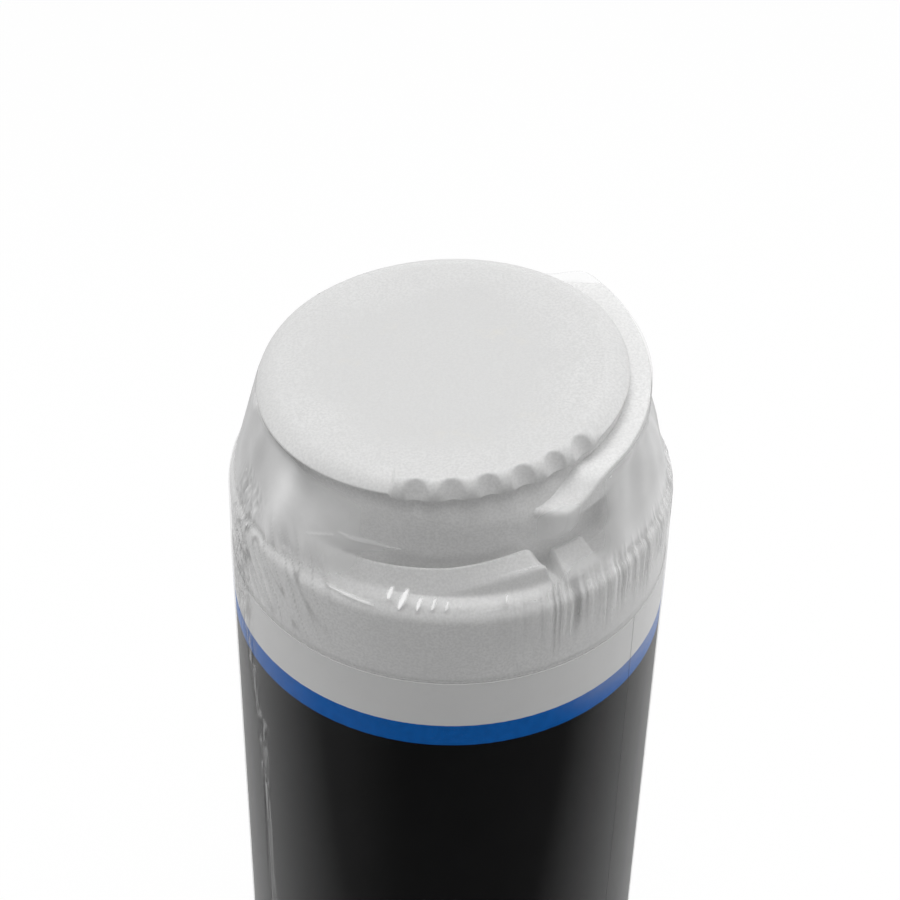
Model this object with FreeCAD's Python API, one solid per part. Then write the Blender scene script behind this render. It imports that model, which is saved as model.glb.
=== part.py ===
import FreeCAD, Part
import math
import os

# A refrigerator water filter cartridge, wrapped and capped as it is sold.
# All sizes are in millimetres. Z runs up the axis from the underside of the wrap,
# X points to the right of the photo and Y away from the camera.

# Clearances and fits
wrap_thickness = 0.2
wrap_clearance = 0.1
label_thickness = 0.2
label_bond = 0.05
weld_play = 0.05
cap_rest_gap = 0.15
socket_play = 0.3
media_play = 0.1
plug_play = 0.6
lug_cap_gap = 0.1
collar_gap = 0.6
far_collar_gap = 0.9
embed = 0.8
edge_match = 0.0001

# Body
body_radius = 39.5
sump_wall = 2.5
sump_floor = 3.0
sump_edge_round = 5.0
weld_height = 188.8
weld_lip_height = 6.0
weld_lip_wall = 1.7
lip_blend = 2.0

# Head: skirt above the weld, shoulder ledge, and neck above the shoulder
skirt_height = 16.6
shoulder_wall = 3.0
shoulder_round = 3.6
shoulder_ledge = 7.3
neck_height = 17.6
neck_wall = 2.8
neck_root_round = 0.8
neck_relief_depth = 5.0
neck_relief_inset = 0.6

# Spigot in the neck, with two sealing rings and the water ways
well_floor_wall = 3.0
spigot_wide_radius = 13.5
spigot_wide_height = 7.5
spigot_slim_radius = 6.5
spigot_slim_height = 4.5
spigot_round = 0.6
outlet_bore_radius = 3.0
inlet_count = 4
inlet_radius = 1.5
wide_ring_cord = 1.9
slim_ring_cord = 1.6
ring_stand_out = 0.5
groove_play = 0.4
outlet_tube_radius = 7.6
outlet_tube_length = 13.0
socket_radius = 5.9

# Cap, which lies askew on the neck: raised on the right and pushed to the left
cap_overhang = 0.1
cap_height = 3.4
cap_wall = 1.7
cap_rim_wall = 2.4
cap_lip_height = 1.3
cap_lip = 0.4
cap_lip_overhang = 1.6
cap_edge_run = 5.0
cap_edge_bow = 0.44
cap_ring_width = 8.3
cap_dish_depth = 0.5
cap_dish_run = 5.0
cap_lean = 3.9
cap_shift = 1.7
cap_plug_depth = 2.0
cap_plug_wall = 1.4
scallop_count = 6
scallop_first = -97.0
scallop_pitch = 10.8
scallop_radius = 2.8
scallop_stand_off = 2.0
scallop_tilt = 15.0
grip_foot = 0.3
grip_edge_run = 2.0
grip_margin = 6.5

# Locking lug: its outer edge is an arc through three places that stand out from the neck,
# and its crest is given by shares of the way from front to back and heights over the neck's rim
lug_front_azimuth = -56.8
lug_front_stand_out = 3.2
lug_middle_azimuth = 0.0
lug_middle_stand_out = 2.1
lug_back_azimuth = 43.9
lug_back_stand_out = 4.4
lug_crest_shares = [-0.04, 0.035, 0.11, 0.24, 0.53, 0.72, 0.86, 1.03]
lug_crest_heights = [-5.2, -3.6, -0.8, 0.0, 0.6, 1.6, 2.4, 3.0]
lug_tip_turn = 7.0
lug_root = 2.4
lug_front_thickness = 1.2
lug_back_thickness = 5.4

# Shoulder ramp and stop, set in front of the neck and again behind it. The ramp is given by stations:
# azimuth, distance of its crest from the neck, depth of the groove behind the crest, and the heights
# of crest and outer edge over the shoulder
ramp_azimuths = [-147.0, -112.0, -90.0, -76.0, -62.0]
ramp_crest_offsets = [1.6, 1.6, 1.3, 0.9, 0.4]
ramp_groove_depths = [0.8, 1.6, 1.5, 1.0, 0.3]
ramp_crest_heights = [1.8, 3.6, 4.4, 5.4, 6.0]
ramp_outer_heights = [0.2, 0.3, 0.9, 2.7, 3.6]
ramp_set_back = 3.3
stop_azimuths = [-58.5, -46.5]
stop_crest_offsets = [0.6, 0.6]
stop_groove_depths = [0.4, 0.4]
stop_crest_heights = [3.6, 3.6]
stop_outer_heights = [1.0, 1.0]
stop_set_back = 1.5
ramp_sections = 10

# Filter element
element_radius = 28.0
element_bore = 6.0
wrap_layer = 1.2
end_plate = 2.0
end_rim_wall = 1.4
end_rim_height = 7.0
end_spigot_length = 10.0
end_spigot_bore = 2.6
end_ring_cord = 1.4
end_boss_height = 6.0
end_boss_hollow = 4.0
foot_count = 4
foot_height = 4.0
foot_length = 16.0
foot_width = 3.0

# Label
label_bottom = 20.0
label_edge_below_weld = 0.5
label_joint_azimuth = -34.5
label_joint_gap = 0.3

# Wrap
wrap_stations = 36
wrap_edge_step = 0.45
wrap_edge_drop = 1.3
collar_blend = 14.0
lug_margin = 7.0

FULL_TURN = 360.0
Z_AXIS = FreeCAD.Vector(0, 0, 1)
ORIGIN = FreeCAD.Vector(0, 0, 0)


def vec(x, y, z):
    return FreeCAD.Vector(x, y, z)


def polar(radius, azimuth, z):
    """Point at a radius and an azimuth in degrees."""
    a = math.radians(azimuth)
    return vec(radius * math.cos(a), radius * math.sin(a), z)


def turned(points):
    """Solid of revolution from a closed outline of (radius, height) points."""
    outline = [vec(r, 0, z) for r, z in points]
    wire = Part.makePolygon(outline + outline[:1])
    return Part.Face(wire).revolve(ORIGIN, Z_AXIS, FULL_TURN)


def tube(outer, inner, low, high):
    """Plain ring between two radii and two heights."""
    return turned([(inner, low), (outer, low), (outer, high), (inner, high)])


def rod(radius, low, high):
    return Part.makeCylinder(radius, high - low, vec(0, 0, low))


def circle_edges(shape, radius, z):
    """Round edges of a turned solid at one radius and height."""
    found = []
    for edge in shape.Edges:
        curve = edge.Curve
        if isinstance(curve, Part.Circle) and abs(curve.Radius - radius) < edge_match:
            if abs(curve.Center.z - z) < edge_match:
                found.append(edge)
    return found


def between(value, places, heights):
    """Value read off straight lines through stations, which climb in place."""
    for i in range(len(places) - 1):
        if value <= places[i + 1]:
            share = (value - places[i]) / (places[i + 1] - places[i])
            return heights[i] + share * (heights[i + 1] - heights[i])
    return heights[-1]


def sector(outer, azimuths, crest_offsets, groove_depths, crest_heights, outer_heights):
    """Rail on the shoulder: a crest with a groove between it and the neck, and a top that slopes outwards."""
    inner = neck_radius - embed
    base = shoulder_height - embed
    sections = []
    for i in range(ramp_sections + 1):
        azimuth = azimuths[0] + (azimuths[-1] - azimuths[0]) * i / ramp_sections
        crest = neck_radius + between(azimuth, azimuths, crest_offsets)
        crest_top = shoulder_height + between(azimuth, azimuths, crest_heights)
        outer_top = shoulder_height + between(azimuth, azimuths, outer_heights)
        groove_floor = crest_top - between(azimuth, azimuths, groove_depths)
        outline = [(inner, base), (outer, base), (outer, outer_top), (crest, crest_top),
                   (neck_radius, groove_floor), (inner, groove_floor)]
        corners = [polar(r, azimuth, z) for r, z in outline]
        sections.append(Part.makePolygon(corners + corners[:1]))
    return Part.makeLoft(sections, True, True)


def lean_plane(z):
    """Placement that leans a level shape as the cap leans, about the axis at height z."""
    tilt = FreeCAD.Rotation(vec(0, 1, 0), -cap_lean)
    return FreeCAD.Placement(vec(-cap_shift, 0, z), tilt)


def lean_height(z, x):
    """Height of the leaning plane through z at a place along X."""
    return z + math.tan(math.radians(cap_lean)) * (x + cap_shift)


# Heights and radii that follow from the sizes above
label_inner = body_radius + label_bond
label_outer = label_inner + label_thickness
wrap_radius = label_outer + wrap_clearance + wrap_thickness
wrap_foot_chamfer = sump_edge_round * (2 - math.sqrt(2))
sump_base = wrap_thickness + wrap_clearance
sump_inner = body_radius - sump_wall
floor_top = sump_base + sump_floor
shoulder_height = weld_height + skirt_height
neck_radius = body_radius - shoulder_ledge
neck_bore = neck_radius - neck_wall
cap_radius = neck_radius + cap_overhang
cap_dish_radius = cap_radius - cap_ring_width
cap_lift = shoulder_height + neck_height
ramp_radius = body_radius - ramp_set_back
stop_radius = body_radius - stop_set_back
top_of_all = cap_lift + wrap_radius
well_floor = shoulder_height
well_under = well_floor - well_floor_wall
wide_top = well_floor + spigot_wide_height
slim_top = wide_top + spigot_slim_height
rim_level = cap_lift - cap_rest_gap
wide_groove = spigot_wide_radius + ring_stand_out - wide_ring_cord
slim_groove = spigot_slim_radius + ring_stand_out - slim_ring_cord
wide_ring_level = well_floor + spigot_wide_height / 2
slim_ring_level = wide_top + spigot_slim_height / 2
tube_end = well_under - outlet_tube_length
top_plate_high = tube_end - socket_play
top_plate_low = top_plate_high - end_plate
bottom_plate_low = floor_top + foot_height
bottom_plate_high = bottom_plate_low + end_plate
wrap_layer_inner = element_radius
wrap_layer_outer = element_radius + wrap_layer
rim_inner = wrap_layer_outer + media_play
rim_outer = rim_inner + end_rim_wall
end_spigot = socket_radius - socket_play
end_groove = socket_radius - end_ring_cord
end_ring_level = top_plate_high + end_spigot_length / 2
label_top = weld_height - label_edge_below_weld


def make_sump():
    """Closed lower housing: a cup with a rounded foot."""
    cup = rod(body_radius, sump_base, weld_height)
    cup = cup.makeFillet(sump_edge_round, circle_edges(cup, body_radius, sump_base))
    hollow = rod(sump_inner, floor_top, weld_height)
    hollow = hollow.makeFillet(sump_edge_round - sump_wall, circle_edges(hollow, sump_inner, floor_top))
    return cup.cut(hollow)


def lug_points():
    """Front, middle and back of the lug's outer edge in plan."""
    places = ((lug_front_stand_out, lug_front_azimuth), (lug_middle_stand_out, lug_middle_azimuth),
              (lug_back_stand_out, lug_back_azimuth))
    return [polar(neck_radius + stand_out, azimuth, 0) for stand_out, azimuth in places]


def lug_crest():
    """Points along the top of the lug, seen from the side, as (y, z)."""
    front, middle, back = lug_points()
    places = [front.y + share * (back.y - front.y) for share in lug_crest_shares]
    return list(zip(places, [cap_lift + height for height in lug_crest_heights]))


def lug_blank():
    """Locking lug: its plan carried up and its side view carried along X, and what they share."""
    inner = neck_radius - lug_root
    front, middle, back = lug_points()
    tip = front.y + front.x * math.tan(math.radians(lug_tip_turn))
    back_foot, front_foot = vec(0, back.y, 0), vec(0, tip, 0)
    edges = [Part.Arc(front, middle, back).toShape(), Part.makeLine(back, back_foot),
             Part.makeLine(back_foot, front_foot), Part.makeLine(front_foot, front)]
    plan = Part.Face(Part.Wire(edges)).extrude(vec(0, 0, top_of_all)).cut(rod(inner, 0, top_of_all))
    crest = Part.BSplineCurve()
    crest.interpolate([vec(0, y, z) for y, z in lug_crest()])
    start, end = crest.StartPoint, crest.EndPoint
    low_start = start - vec(0, 0, lug_front_thickness)
    low_end = end - vec(0, 0, lug_back_thickness)
    side = [crest.toShape(), Part.makeLine(end, low_end),
            Part.makeLine(low_end, low_start), Part.makeLine(low_start, start)]
    slab = Part.Face(Part.Wire(side)).extrude(vec(wrap_radius, 0, 0))
    cap_room = rod(cap_radius + lug_cap_gap, 0, wrap_radius)
    cap_room.Placement = lean_plane(rim_level).multiply(cap_room.Placement)
    return plan.common(slab).cut(cap_room)


def lean_cutter(z):
    """Block above the leaning plane through z."""
    half = top_of_all
    block = Part.makeBox(2 * half, 2 * half, half, vec(-half, -half, 0))
    block.Placement = lean_plane(z).multiply(block.Placement)
    return block


def neck_relief():
    """Ring that draws the neck's rim in under the cap: what lies outside a cone about the cap's axis."""
    top = cap_radius - neck_relief_inset
    ring = turned([(top, 0), (wrap_radius, 0), (wrap_radius, -neck_relief_depth),
                   (top + cap_shift, -neck_relief_depth)])
    ring.Placement = lean_plane(rim_level)
    return ring


def make_head():
    """Head cover: skirt, shoulder, neck, spigot, lugs and shoulder ramps in one moulding."""
    lip_outer = sump_inner - weld_play
    lip_inner = lip_outer - weld_lip_wall
    lip_low = weld_height - weld_lip_height
    dome = rod(body_radius, weld_height, shoulder_height)
    dome = dome.fuse(rod(neck_radius, shoulder_height - shoulder_round, top_of_all)).removeSplitter()
    dome = dome.makeFillet(shoulder_round, circle_edges(dome, body_radius, shoulder_height))
    dome = dome.makeFillet(neck_root_round, circle_edges(dome, neck_radius, shoulder_height))
    lip = tube(lip_outer, lip_inner, lip_low, weld_height + lip_blend)
    room = turned([(0, weld_height), (lip_inner, weld_height), (lip_inner, weld_height + lip_blend),
                   (sump_inner, weld_height + 2 * lip_blend), (sump_inner, shoulder_height - shoulder_wall),
                   (neck_bore, well_under), (0, well_under)])
    well = rod(neck_bore, well_floor, top_of_all)
    shell = dome.cut(room).cut(well).fuse(lip)
    spigot = turned([(0, well_under), (spigot_wide_radius, well_under), (spigot_wide_radius, wide_top),
                     (spigot_slim_radius, wide_top), (spigot_slim_radius, slim_top), (0, slim_top)])
    spigot = spigot.makeChamfer(spigot_round, circle_edges(spigot, spigot_wide_radius, wide_top)
                                + circle_edges(spigot, spigot_slim_radius, slim_top))
    outlet = rod(outlet_tube_radius, tube_end, well_under + embed)
    head = shell.fuse([spigot, outlet])
    ways = [rod(outlet_bore_radius, tube_end, slim_top), rod(socket_radius, tube_end, well_under)]
    ways.append(groove(spigot_wide_radius, wide_groove, wide_ring_cord, wide_ring_level))
    ways.append(groove(spigot_slim_radius, slim_groove, slim_ring_cord, slim_ring_level))
    inlet_place = (max(spigot_slim_radius, outlet_tube_radius) + wide_groove) / 2
    for i in range(inlet_count):
        at = polar(inlet_place, i * FULL_TURN / inlet_count, well_under)
        ways.append(Part.makeCylinder(inlet_radius, spigot_wide_height + well_floor_wall, at))
    head = head.cut(ways)
    head = head.cut(lean_cutter(rim_level))
    head = head.cut(neck_relief())
    near = lug_blank()
    far = near.common(Part.makeBox(wrap_radius, wrap_radius, top_of_all, vec(0, -wrap_radius, 0)))
    far.rotate(ORIGIN, Z_AXIS, FULL_TURN / 2)
    far = far.cut(lean_cutter(rim_level))
    ramp = sector(ramp_radius, ramp_azimuths, ramp_crest_offsets, ramp_groove_depths,
                  ramp_crest_heights, ramp_outer_heights)
    stop = sector(stop_radius, stop_azimuths, stop_crest_offsets, stop_groove_depths,
                  stop_crest_heights, stop_outer_heights)
    added = [near, far]
    for piece in (ramp, stop):
        twin = piece.copy()
        twin.rotate(ORIGIN, Z_AXIS, FULL_TURN / 2)
        added += [piece, twin]
    return head.fuse(added).removeSplitter()


def groove(outer, bottom, cord, level):
    """Ring groove for a sealing ring, a little wider than its cord."""
    half = (cord + groove_play) / 2
    return tube(outer + embed, bottom, level - half, level + half)


def cap_blank(edge_run, edge_foot, bow):
    """Solid cap with a dished top. Its edge curves down over edge_run to edge_foot, as the part of a quarter
    round that starts at the share bow of it. A high edge ends in a lip that stands out over a lower rim."""
    dish_low = cap_height - cap_dish_depth
    start, end = math.radians(FULL_TURN / 4 * bow), math.radians(FULL_TURN / 4)
    half = (start + end) / 2
    across = (math.cos(start) - math.cos(half)) / (math.cos(start) - math.cos(end))
    climb = (math.sin(half) - math.sin(start)) / (math.sin(end) - math.sin(start))
    foot, crest = vec(cap_radius, 0, edge_foot), vec(cap_radius - edge_run, 0, cap_height)
    middle = vec(cap_radius - edge_run * across, 0, edge_foot + (cap_height - edge_foot) * climb)
    under = max(edge_foot - cap_lip, 0.0)
    lower = cap_radius - (cap_lip_overhang if under > 0.0 else 0.0)
    corners = [crest, vec(cap_dish_radius, 0, cap_height), vec(cap_dish_radius - cap_dish_run, 0, dish_low),
               vec(0, 0, dish_low), ORIGIN, vec(lower, 0, 0)]
    corners += [vec(lower, 0, under), vec(cap_radius, 0, under)] if under > 0.0 else []
    corners.append(foot)
    edges = [Part.Arc(foot, middle, crest).toShape()]
    edges += [Part.makeLine(p, q) for p, q in zip(corners, corners[1:])]
    return Part.Face(Part.Wire(edges)).revolve(ORIGIN, Z_AXIS, FULL_TURN)


def make_cap():
    """Loose cover of the neck: a dished disc with a thin edge, a fuller fluted grip and a plug ring."""
    room_top = cap_height - cap_dish_depth - cap_wall
    grip_start = scallop_first - grip_margin
    grip_turn = (scallop_count - 1) * scallop_pitch + 2 * grip_margin
    wedge = Part.makeCylinder(wrap_radius, cap_height, ORIGIN, Z_AXIS, grip_turn)
    wedge.rotate(ORIGIN, Z_AXIS, grip_start)
    grip = cap_blank(grip_edge_run, grip_foot, 0.0).common(wedge)
    grip = grip.cut(rod(cap_dish_radius + embed, 0, cap_height))
    disc = cap_blank(cap_edge_run, cap_lip_height, cap_edge_bow).fuse(grip)
    disc = disc.cut(rod(cap_radius - cap_rim_wall, 0, room_top))
    plug_outer = neck_bore - cap_shift - plug_play
    plug = tube(plug_outer, plug_outer - cap_plug_wall, -cap_plug_depth, room_top)
    disc = disc.fuse(plug)
    cutters = []
    for i in range(scallop_count):
        bit = Part.makeCylinder(scallop_radius, 2 * wrap_radius, vec(0, 0, -wrap_radius))
        bit.rotate(ORIGIN, vec(0, 1, 0), -scallop_tilt)
        bit.translate(vec(cap_radius + scallop_stand_off, 0, 0))
        bit.rotate(ORIGIN, Z_AXIS, scallop_first + i * scallop_pitch)
        cutters.append(bit)
    disc = disc.cut(cutters).removeSplitter()
    disc.Placement = lean_plane(cap_lift)
    return disc


def make_ring(bottom, cord, level):
    """Sealing ring lying in a groove of the given bottom radius."""
    return Part.makeTorus(bottom + cord / 2, cord / 2, vec(0, 0, level))


def make_top_end_cap():
    """Upper end cap: a plate with a rim round the media and a spigot up into the head."""
    rim_low = top_plate_low - end_rim_height
    spigot_high = top_plate_high + end_spigot_length
    cup = turned([(0, top_plate_low), (rim_inner, top_plate_low), (rim_inner, rim_low),
                  (rim_outer, rim_low), (rim_outer, top_plate_high), (end_spigot, top_plate_high),
                  (end_spigot, spigot_high), (0, spigot_high)])
    bore = rod(end_spigot_bore, top_plate_low, spigot_high)
    return cup.cut([bore, groove(end_spigot, end_groove, end_ring_cord, end_ring_level)])


def make_bottom_end_cap():
    """Lower end cap: a plate with a rim, a boss that closes the bore and feet on the floor."""
    boss = element_bore - media_play
    rim_high = bottom_plate_high + end_rim_height
    boss_high = bottom_plate_high + end_boss_height
    cup = turned([(0, bottom_plate_low), (rim_outer, bottom_plate_low), (rim_outer, rim_high),
                  (rim_inner, rim_high), (rim_inner, bottom_plate_high), (boss, bottom_plate_high),
                  (boss, boss_high), (end_boss_hollow, boss_high), (end_boss_hollow, bottom_plate_high),
                  (0, bottom_plate_high)])
    feet = []
    for i in range(foot_count):
        foot = Part.makeBox(foot_length, foot_width, foot_height,
                            vec(rim_outer - foot_length - embed, -foot_width / 2, floor_top))
        foot.rotate(ORIGIN, Z_AXIS, i * FULL_TURN / foot_count)
        feet.append(foot)
    return cup.fuse(feet).removeSplitter()


def make_label():
    """Printed sleeve round the body, its two ends meeting in an upright joint."""
    sleeve = tube(label_outer, label_inner, label_bottom, label_top)
    corner = vec(body_radius / 2, -label_joint_gap / 2, 0)
    gap = Part.makeBox(body_radius, label_joint_gap, weld_height, corner)
    gap.rotate(ORIGIN, Z_AXIS, label_joint_azimuth)
    return sleeve.cut(gap)


def lug_edge():
    """Centre and radius of the arc through the lug's three plan points."""
    arc = Part.Arc(*lug_points()).toShape().Curve
    return arc.Center, arc.Radius


def reach(centre_x, centre_y, radius, azimuth):
    """Distance from the axis to a circle's far side in one direction."""
    a = math.radians(azimuth)
    along = centre_x * math.cos(a) + centre_y * math.sin(a)
    across = centre_y * math.cos(a) - centre_x * math.sin(a)
    return along + math.sqrt(radius ** 2 - across ** 2)


def lug_share(azimuth, back):
    """One from the lug's front end to the azimuth back, falling smoothly to nothing past each end."""
    middle = (lug_front_azimuth + back) / 2
    half = (back - lug_front_azimuth) / 2 + lug_margin
    past = abs((azimuth - middle + FULL_TURN / 2) % FULL_TURN - FULL_TURN / 2) - half
    t = min(max(1 - past / collar_blend, 0.0), 1.0)
    return t * t * (3 - 2 * t)


def wrap_ring(place):
    """Closed curve round the axis through the points that place gives for each azimuth."""
    curve = Part.BSplineCurve()
    step = FULL_TURN / wrap_stations
    curve.interpolate(Points=[place(i * step) for i in range(wrap_stations)], PeriodicFlag=True)
    return Part.Wire([curve.toShape()])


def wrap_solid(inset):
    """Solid that the wrap's surface encloses, drawn in by inset."""
    centre, arc_radius = lug_edge()
    gap = wrap_clearance + wrap_thickness
    crest_y = [y for y, z in lug_crest()]
    crest_z = [z for y, z in lug_crest()]

    def crest_at(y):
        y = min(max(y, crest_y[0]), crest_y[-1])
        for i in range(len(crest_y) - 1):
            if y <= crest_y[i + 1]:
                share = (y - crest_y[i]) / (crest_y[i + 1] - crest_y[i])
                return crest_z[i] + share * (crest_z[i + 1] - crest_z[i])

    def collar(azimuth):
        over_cap = reach(-cap_shift, 0, cap_radius, azimuth) + collar_gap
        over_neck = max(over_cap, neck_radius + collar_gap)
        over_lug = reach(centre.x, centre.y, arc_radius, azimuth) + collar_gap
        share = lug_share(azimuth, lug_back_azimuth)
        over_far_lug = reach(-centre.x, -centre.y, arc_radius, azimuth) + far_collar_gap
        far_share = lug_share(azimuth + FULL_TURN / 2, lug_middle_azimuth)
        radius = over_neck + share * max(over_lug - over_neck, 0.0)
        radius += far_share * max(over_far_lug - over_neck, 0.0)
        x = radius * math.cos(math.radians(azimuth))
        y = radius * math.sin(math.radians(azimuth))
        level = lean_height(cap_lift, x)
        level += share * (max(crest_at(y), level) + collar_gap - level)
        return polar(radius - inset, azimuth, level - inset)

    def flat(radius, z):
        return lambda azimuth: polar(radius, azimuth, z)

    def leaning(radius, z):
        return lambda azimuth: lean_plane(cap_lift).multVec(polar(radius, azimuth, z))

    bend = shoulder_round * (1 - math.sqrt(0.5))
    rings = [wrap_ring(flat(wrap_radius - wrap_foot_chamfer - inset, inset)),
             wrap_ring(flat(wrap_radius - inset, wrap_foot_chamfer + inset)),
             wrap_ring(flat(wrap_radius - inset, shoulder_height - shoulder_round)),
             wrap_ring(flat(wrap_radius - bend - inset, shoulder_height - bend + gap - inset)),
             wrap_ring(collar),
             wrap_ring(leaning(cap_radius + gap + wrap_edge_step - inset, cap_height - wrap_edge_drop)),
             wrap_ring(leaning(cap_radius - wrap_edge_step - inset, cap_height + gap - inset))]
    return Part.makeLoft(rings, True, True)


def make_wrap():
    """Clear shrink wrap: a closed thin skin stretched from the cap to the shoulder."""
    return wrap_solid(0.0).cut(wrap_solid(wrap_thickness))


def main():
    os.makedirs("parts", exist_ok=True)
    nodes = {
        "sump_body": make_sump(),
        "head_cover": make_head(),
        "neck_cap": make_cap(),
        "spigot_ring_wide": make_ring(wide_groove, wide_ring_cord, wide_ring_level),
        "spigot_ring_slim": make_ring(slim_groove, slim_ring_cord, slim_ring_level),
        "end_cap_ring": make_ring(end_groove, end_ring_cord, end_ring_level),
        "top_end_cap": make_top_end_cap(),
        "bottom_end_cap": make_bottom_end_cap(),
        "carbon_block": tube(element_radius, element_bore, bottom_plate_high, top_plate_low),
        "prefilter_sleeve": tube(wrap_layer_outer, wrap_layer_inner, bottom_plate_high, top_plate_low),
        "label_sleeve": make_label(),
        "shrink_wrap": make_wrap(),
    }
    for name, shape in nodes.items():
        shape.exportStep("parts/" + name + ".step")


main()
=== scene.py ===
import math
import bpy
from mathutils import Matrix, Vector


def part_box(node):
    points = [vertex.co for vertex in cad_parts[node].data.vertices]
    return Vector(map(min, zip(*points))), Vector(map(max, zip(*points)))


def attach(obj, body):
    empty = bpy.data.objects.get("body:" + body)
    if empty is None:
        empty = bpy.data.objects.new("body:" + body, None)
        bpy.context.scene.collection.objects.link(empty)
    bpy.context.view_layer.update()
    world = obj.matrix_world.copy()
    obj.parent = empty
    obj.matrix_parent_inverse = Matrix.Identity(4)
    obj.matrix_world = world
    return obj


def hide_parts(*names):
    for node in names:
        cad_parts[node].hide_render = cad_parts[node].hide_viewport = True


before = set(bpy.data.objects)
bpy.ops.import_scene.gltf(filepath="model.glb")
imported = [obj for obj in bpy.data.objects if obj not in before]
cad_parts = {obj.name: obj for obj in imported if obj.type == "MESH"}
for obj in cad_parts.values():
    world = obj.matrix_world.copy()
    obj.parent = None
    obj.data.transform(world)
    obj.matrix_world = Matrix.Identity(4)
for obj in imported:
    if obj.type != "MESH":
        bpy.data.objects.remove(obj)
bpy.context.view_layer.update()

from types import SimpleNamespace

import bpy
import numpy as np
from bpy.props import FloatProperty, FloatVectorProperty, IntProperty, PointerProperty
from mathutils import Matrix, Vector

bl_info = {
    "name": "Wrapped Water Filter",
    "version": (1, 0, 0),
    "blender": (4, 5, 0),
    "location": "View3D > Sidebar > Filter",
    "description": "Dresses a capped and shrink-wrapped water filter cartridge",
    "category": "Object",
}

MM = 0.001
TURN = 2 * math.pi
BODY = "root"

# Levels and radii of the cartridge in millimetres, read from the frame where it shows them
BODY_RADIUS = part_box("sump_body")[1].x / MM
WELD_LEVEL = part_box("sump_body")[1].z / MM
LABEL_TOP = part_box("label_sleeve")[1].z / MM
FILM_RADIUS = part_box("shrink_wrap")[1].x / MM
SKIRT_HEIGHT = 16.6
NECK_HEIGHT = 17.6
SHOULDER_LEDGE = 7.3
SHOULDER_WALL = 3.0
BODY_WALL = 2.5
NECK_WALL = 2.8
CAP_OVERHANG = 0.1
CAP_REST_GAP = 0.15
SHOULDER = WELD_LEVEL + SKIRT_HEIGHT
NECK_RADIUS = BODY_RADIUS - SHOULDER_LEDGE
BORE_RADIUS = NECK_RADIUS - NECK_WALL
CAP_RADIUS = NECK_RADIUS + CAP_OVERHANG
CAP_LEVEL = SHOULDER + NECK_HEIGHT
RIM_LEVEL = CAP_LEVEL - CAP_REST_GAP
CAP_LEAN = math.radians(3.9)
CAP_SHIFT = 1.7


# Sizes and colours
def size(name, description, default):
    return FloatProperty(name=name, description=description, default=default * MM, unit="LENGTH",
                         precision=4)


def share(name, description, default):
    return FloatProperty(name=name, description=description, default=default, subtype="FACTOR",
                         min=0.0, max=1.0)


def power(name, description, default):
    return FloatProperty(name=name, description=description, default=default, unit="POWER")


def colour(name, description, default):
    return FloatVectorProperty(name=name, description=description, default=default, subtype="COLOR",
                               size=3, min=0.0, max=1.0)


class FILTER_PG_cap(bpy.types.PropertyGroup):
    """Sizes and colour of the neck's cover cap."""
    height: size("Height", "Height of the cap's rim", 3.4)
    wall: size("Wall", "Thickness of the cap's disc", 1.7)
    rim_wall: size("Rim wall", "Thickness of the cap's rim", 2.4)
    lip_height: size("Lip height", "Height of the thin lip away from the grip", 1.3)
    lip: size("Lip", "Thickness of the lip", 0.4)
    lip_overhang: size("Lip overhang", "Width by which the lip stands out over the rim", 1.6)
    lip_rise: size("Lip rise", "Height by which the lip stands higher at the back", 0.9)
    edge_run: size("Edge run", "Width of the curved edge away from the grip", 5.0)
    edge_bow: share("Edge bow", "Share of a quarter round at which the curved edge begins", 0.44)
    grip_foot: size("Grip foot", "Height of the upright foot under the grip's edge", 0.3)
    grip_run: size("Grip run", "Width of the rounded edge along the grip", 2.0)
    dish_depth: size("Dish depth", "Depth of the shallow dish", 0.5)
    dish_radius: size("Dish radius", "Radius where the dish begins", 24.0)
    dish_run: size("Dish run", "Width of the dish's sloping edge", 7.0)
    flute_radius: size("Flute radius", "Radius of one grip flute", 2.8)
    flute_stand_off: size("Flute stand-off", "Distance of a flute's axis outside the rim", 2.35)
    flute_tilt: FloatProperty(name="Flute tilt", description="Lean of a flute's axis to the cap's middle",
                              default=math.radians(24.0), unit="ROTATION")
    flute_count: IntProperty(name="Flutes", description="Number of grip flutes", default=6, min=0)
    colour: colour("Colour", "Colour of the cap's plastic", (0.665, 0.665, 0.662))


class FILTER_PG_head(bpy.types.PropertyGroup):
    """Sizes and colour of the head cover."""
    shoulder_round: size("Shoulder round", "Rounding of the shoulder's outer edge", 3.6)
    rim_round: size("Rim round", "Rounding of the neck's rim", 0.5)
    relief_depth: size("Relief depth", "Height over which the neck draws in under the cap", 5.0)
    relief_inset: size("Relief inset", "Distance of the drawn-in rim inside the cap's edge", 1.5)
    lug_root: size("Lug root", "Depth of the lug's root inside the neck's face", 2.4)
    lug_round: size("Lug round", "Rounding of the lug's edges", 0.45)
    colour: colour("Colour", "Colour of the head's plastic", (0.78, 0.78, 0.777))


class FILTER_PG_label(bpy.types.PropertyGroup):
    """Bands and colours of the printed label."""
    stripe_low: size("Stripe foot", "Height of the stripe's lower edge", 173.1)
    stripe_high: size("Stripe top", "Height of the stripe's upper edge", 178.0)
    paper: colour("Paper", "Colour of the bare paper band", (0.775, 0.775, 0.772))
    stripe: colour("Stripe", "Colour of the stripe", (0.008, 0.135, 0.50))
    ground: colour("Ground", "Colour of the dark ground", (0.0035, 0.0035, 0.0038))


class FILTER_PG_film(bpy.types.PropertyGroup):
    """Fit and clearness of the shrink film."""
    pleat_depth: size("Pleat depth", "Depth of the upright pleats on the shoulder", 0.28)
    seam_width: size("Seam width", "Width of the crumpled side seam", 4.6)
    haze: share("Haze", "Share of milky film where it lies flat", 0.002)
    roughness: share("Roughness", "Roughness of the film's surface", 0.16)


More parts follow.
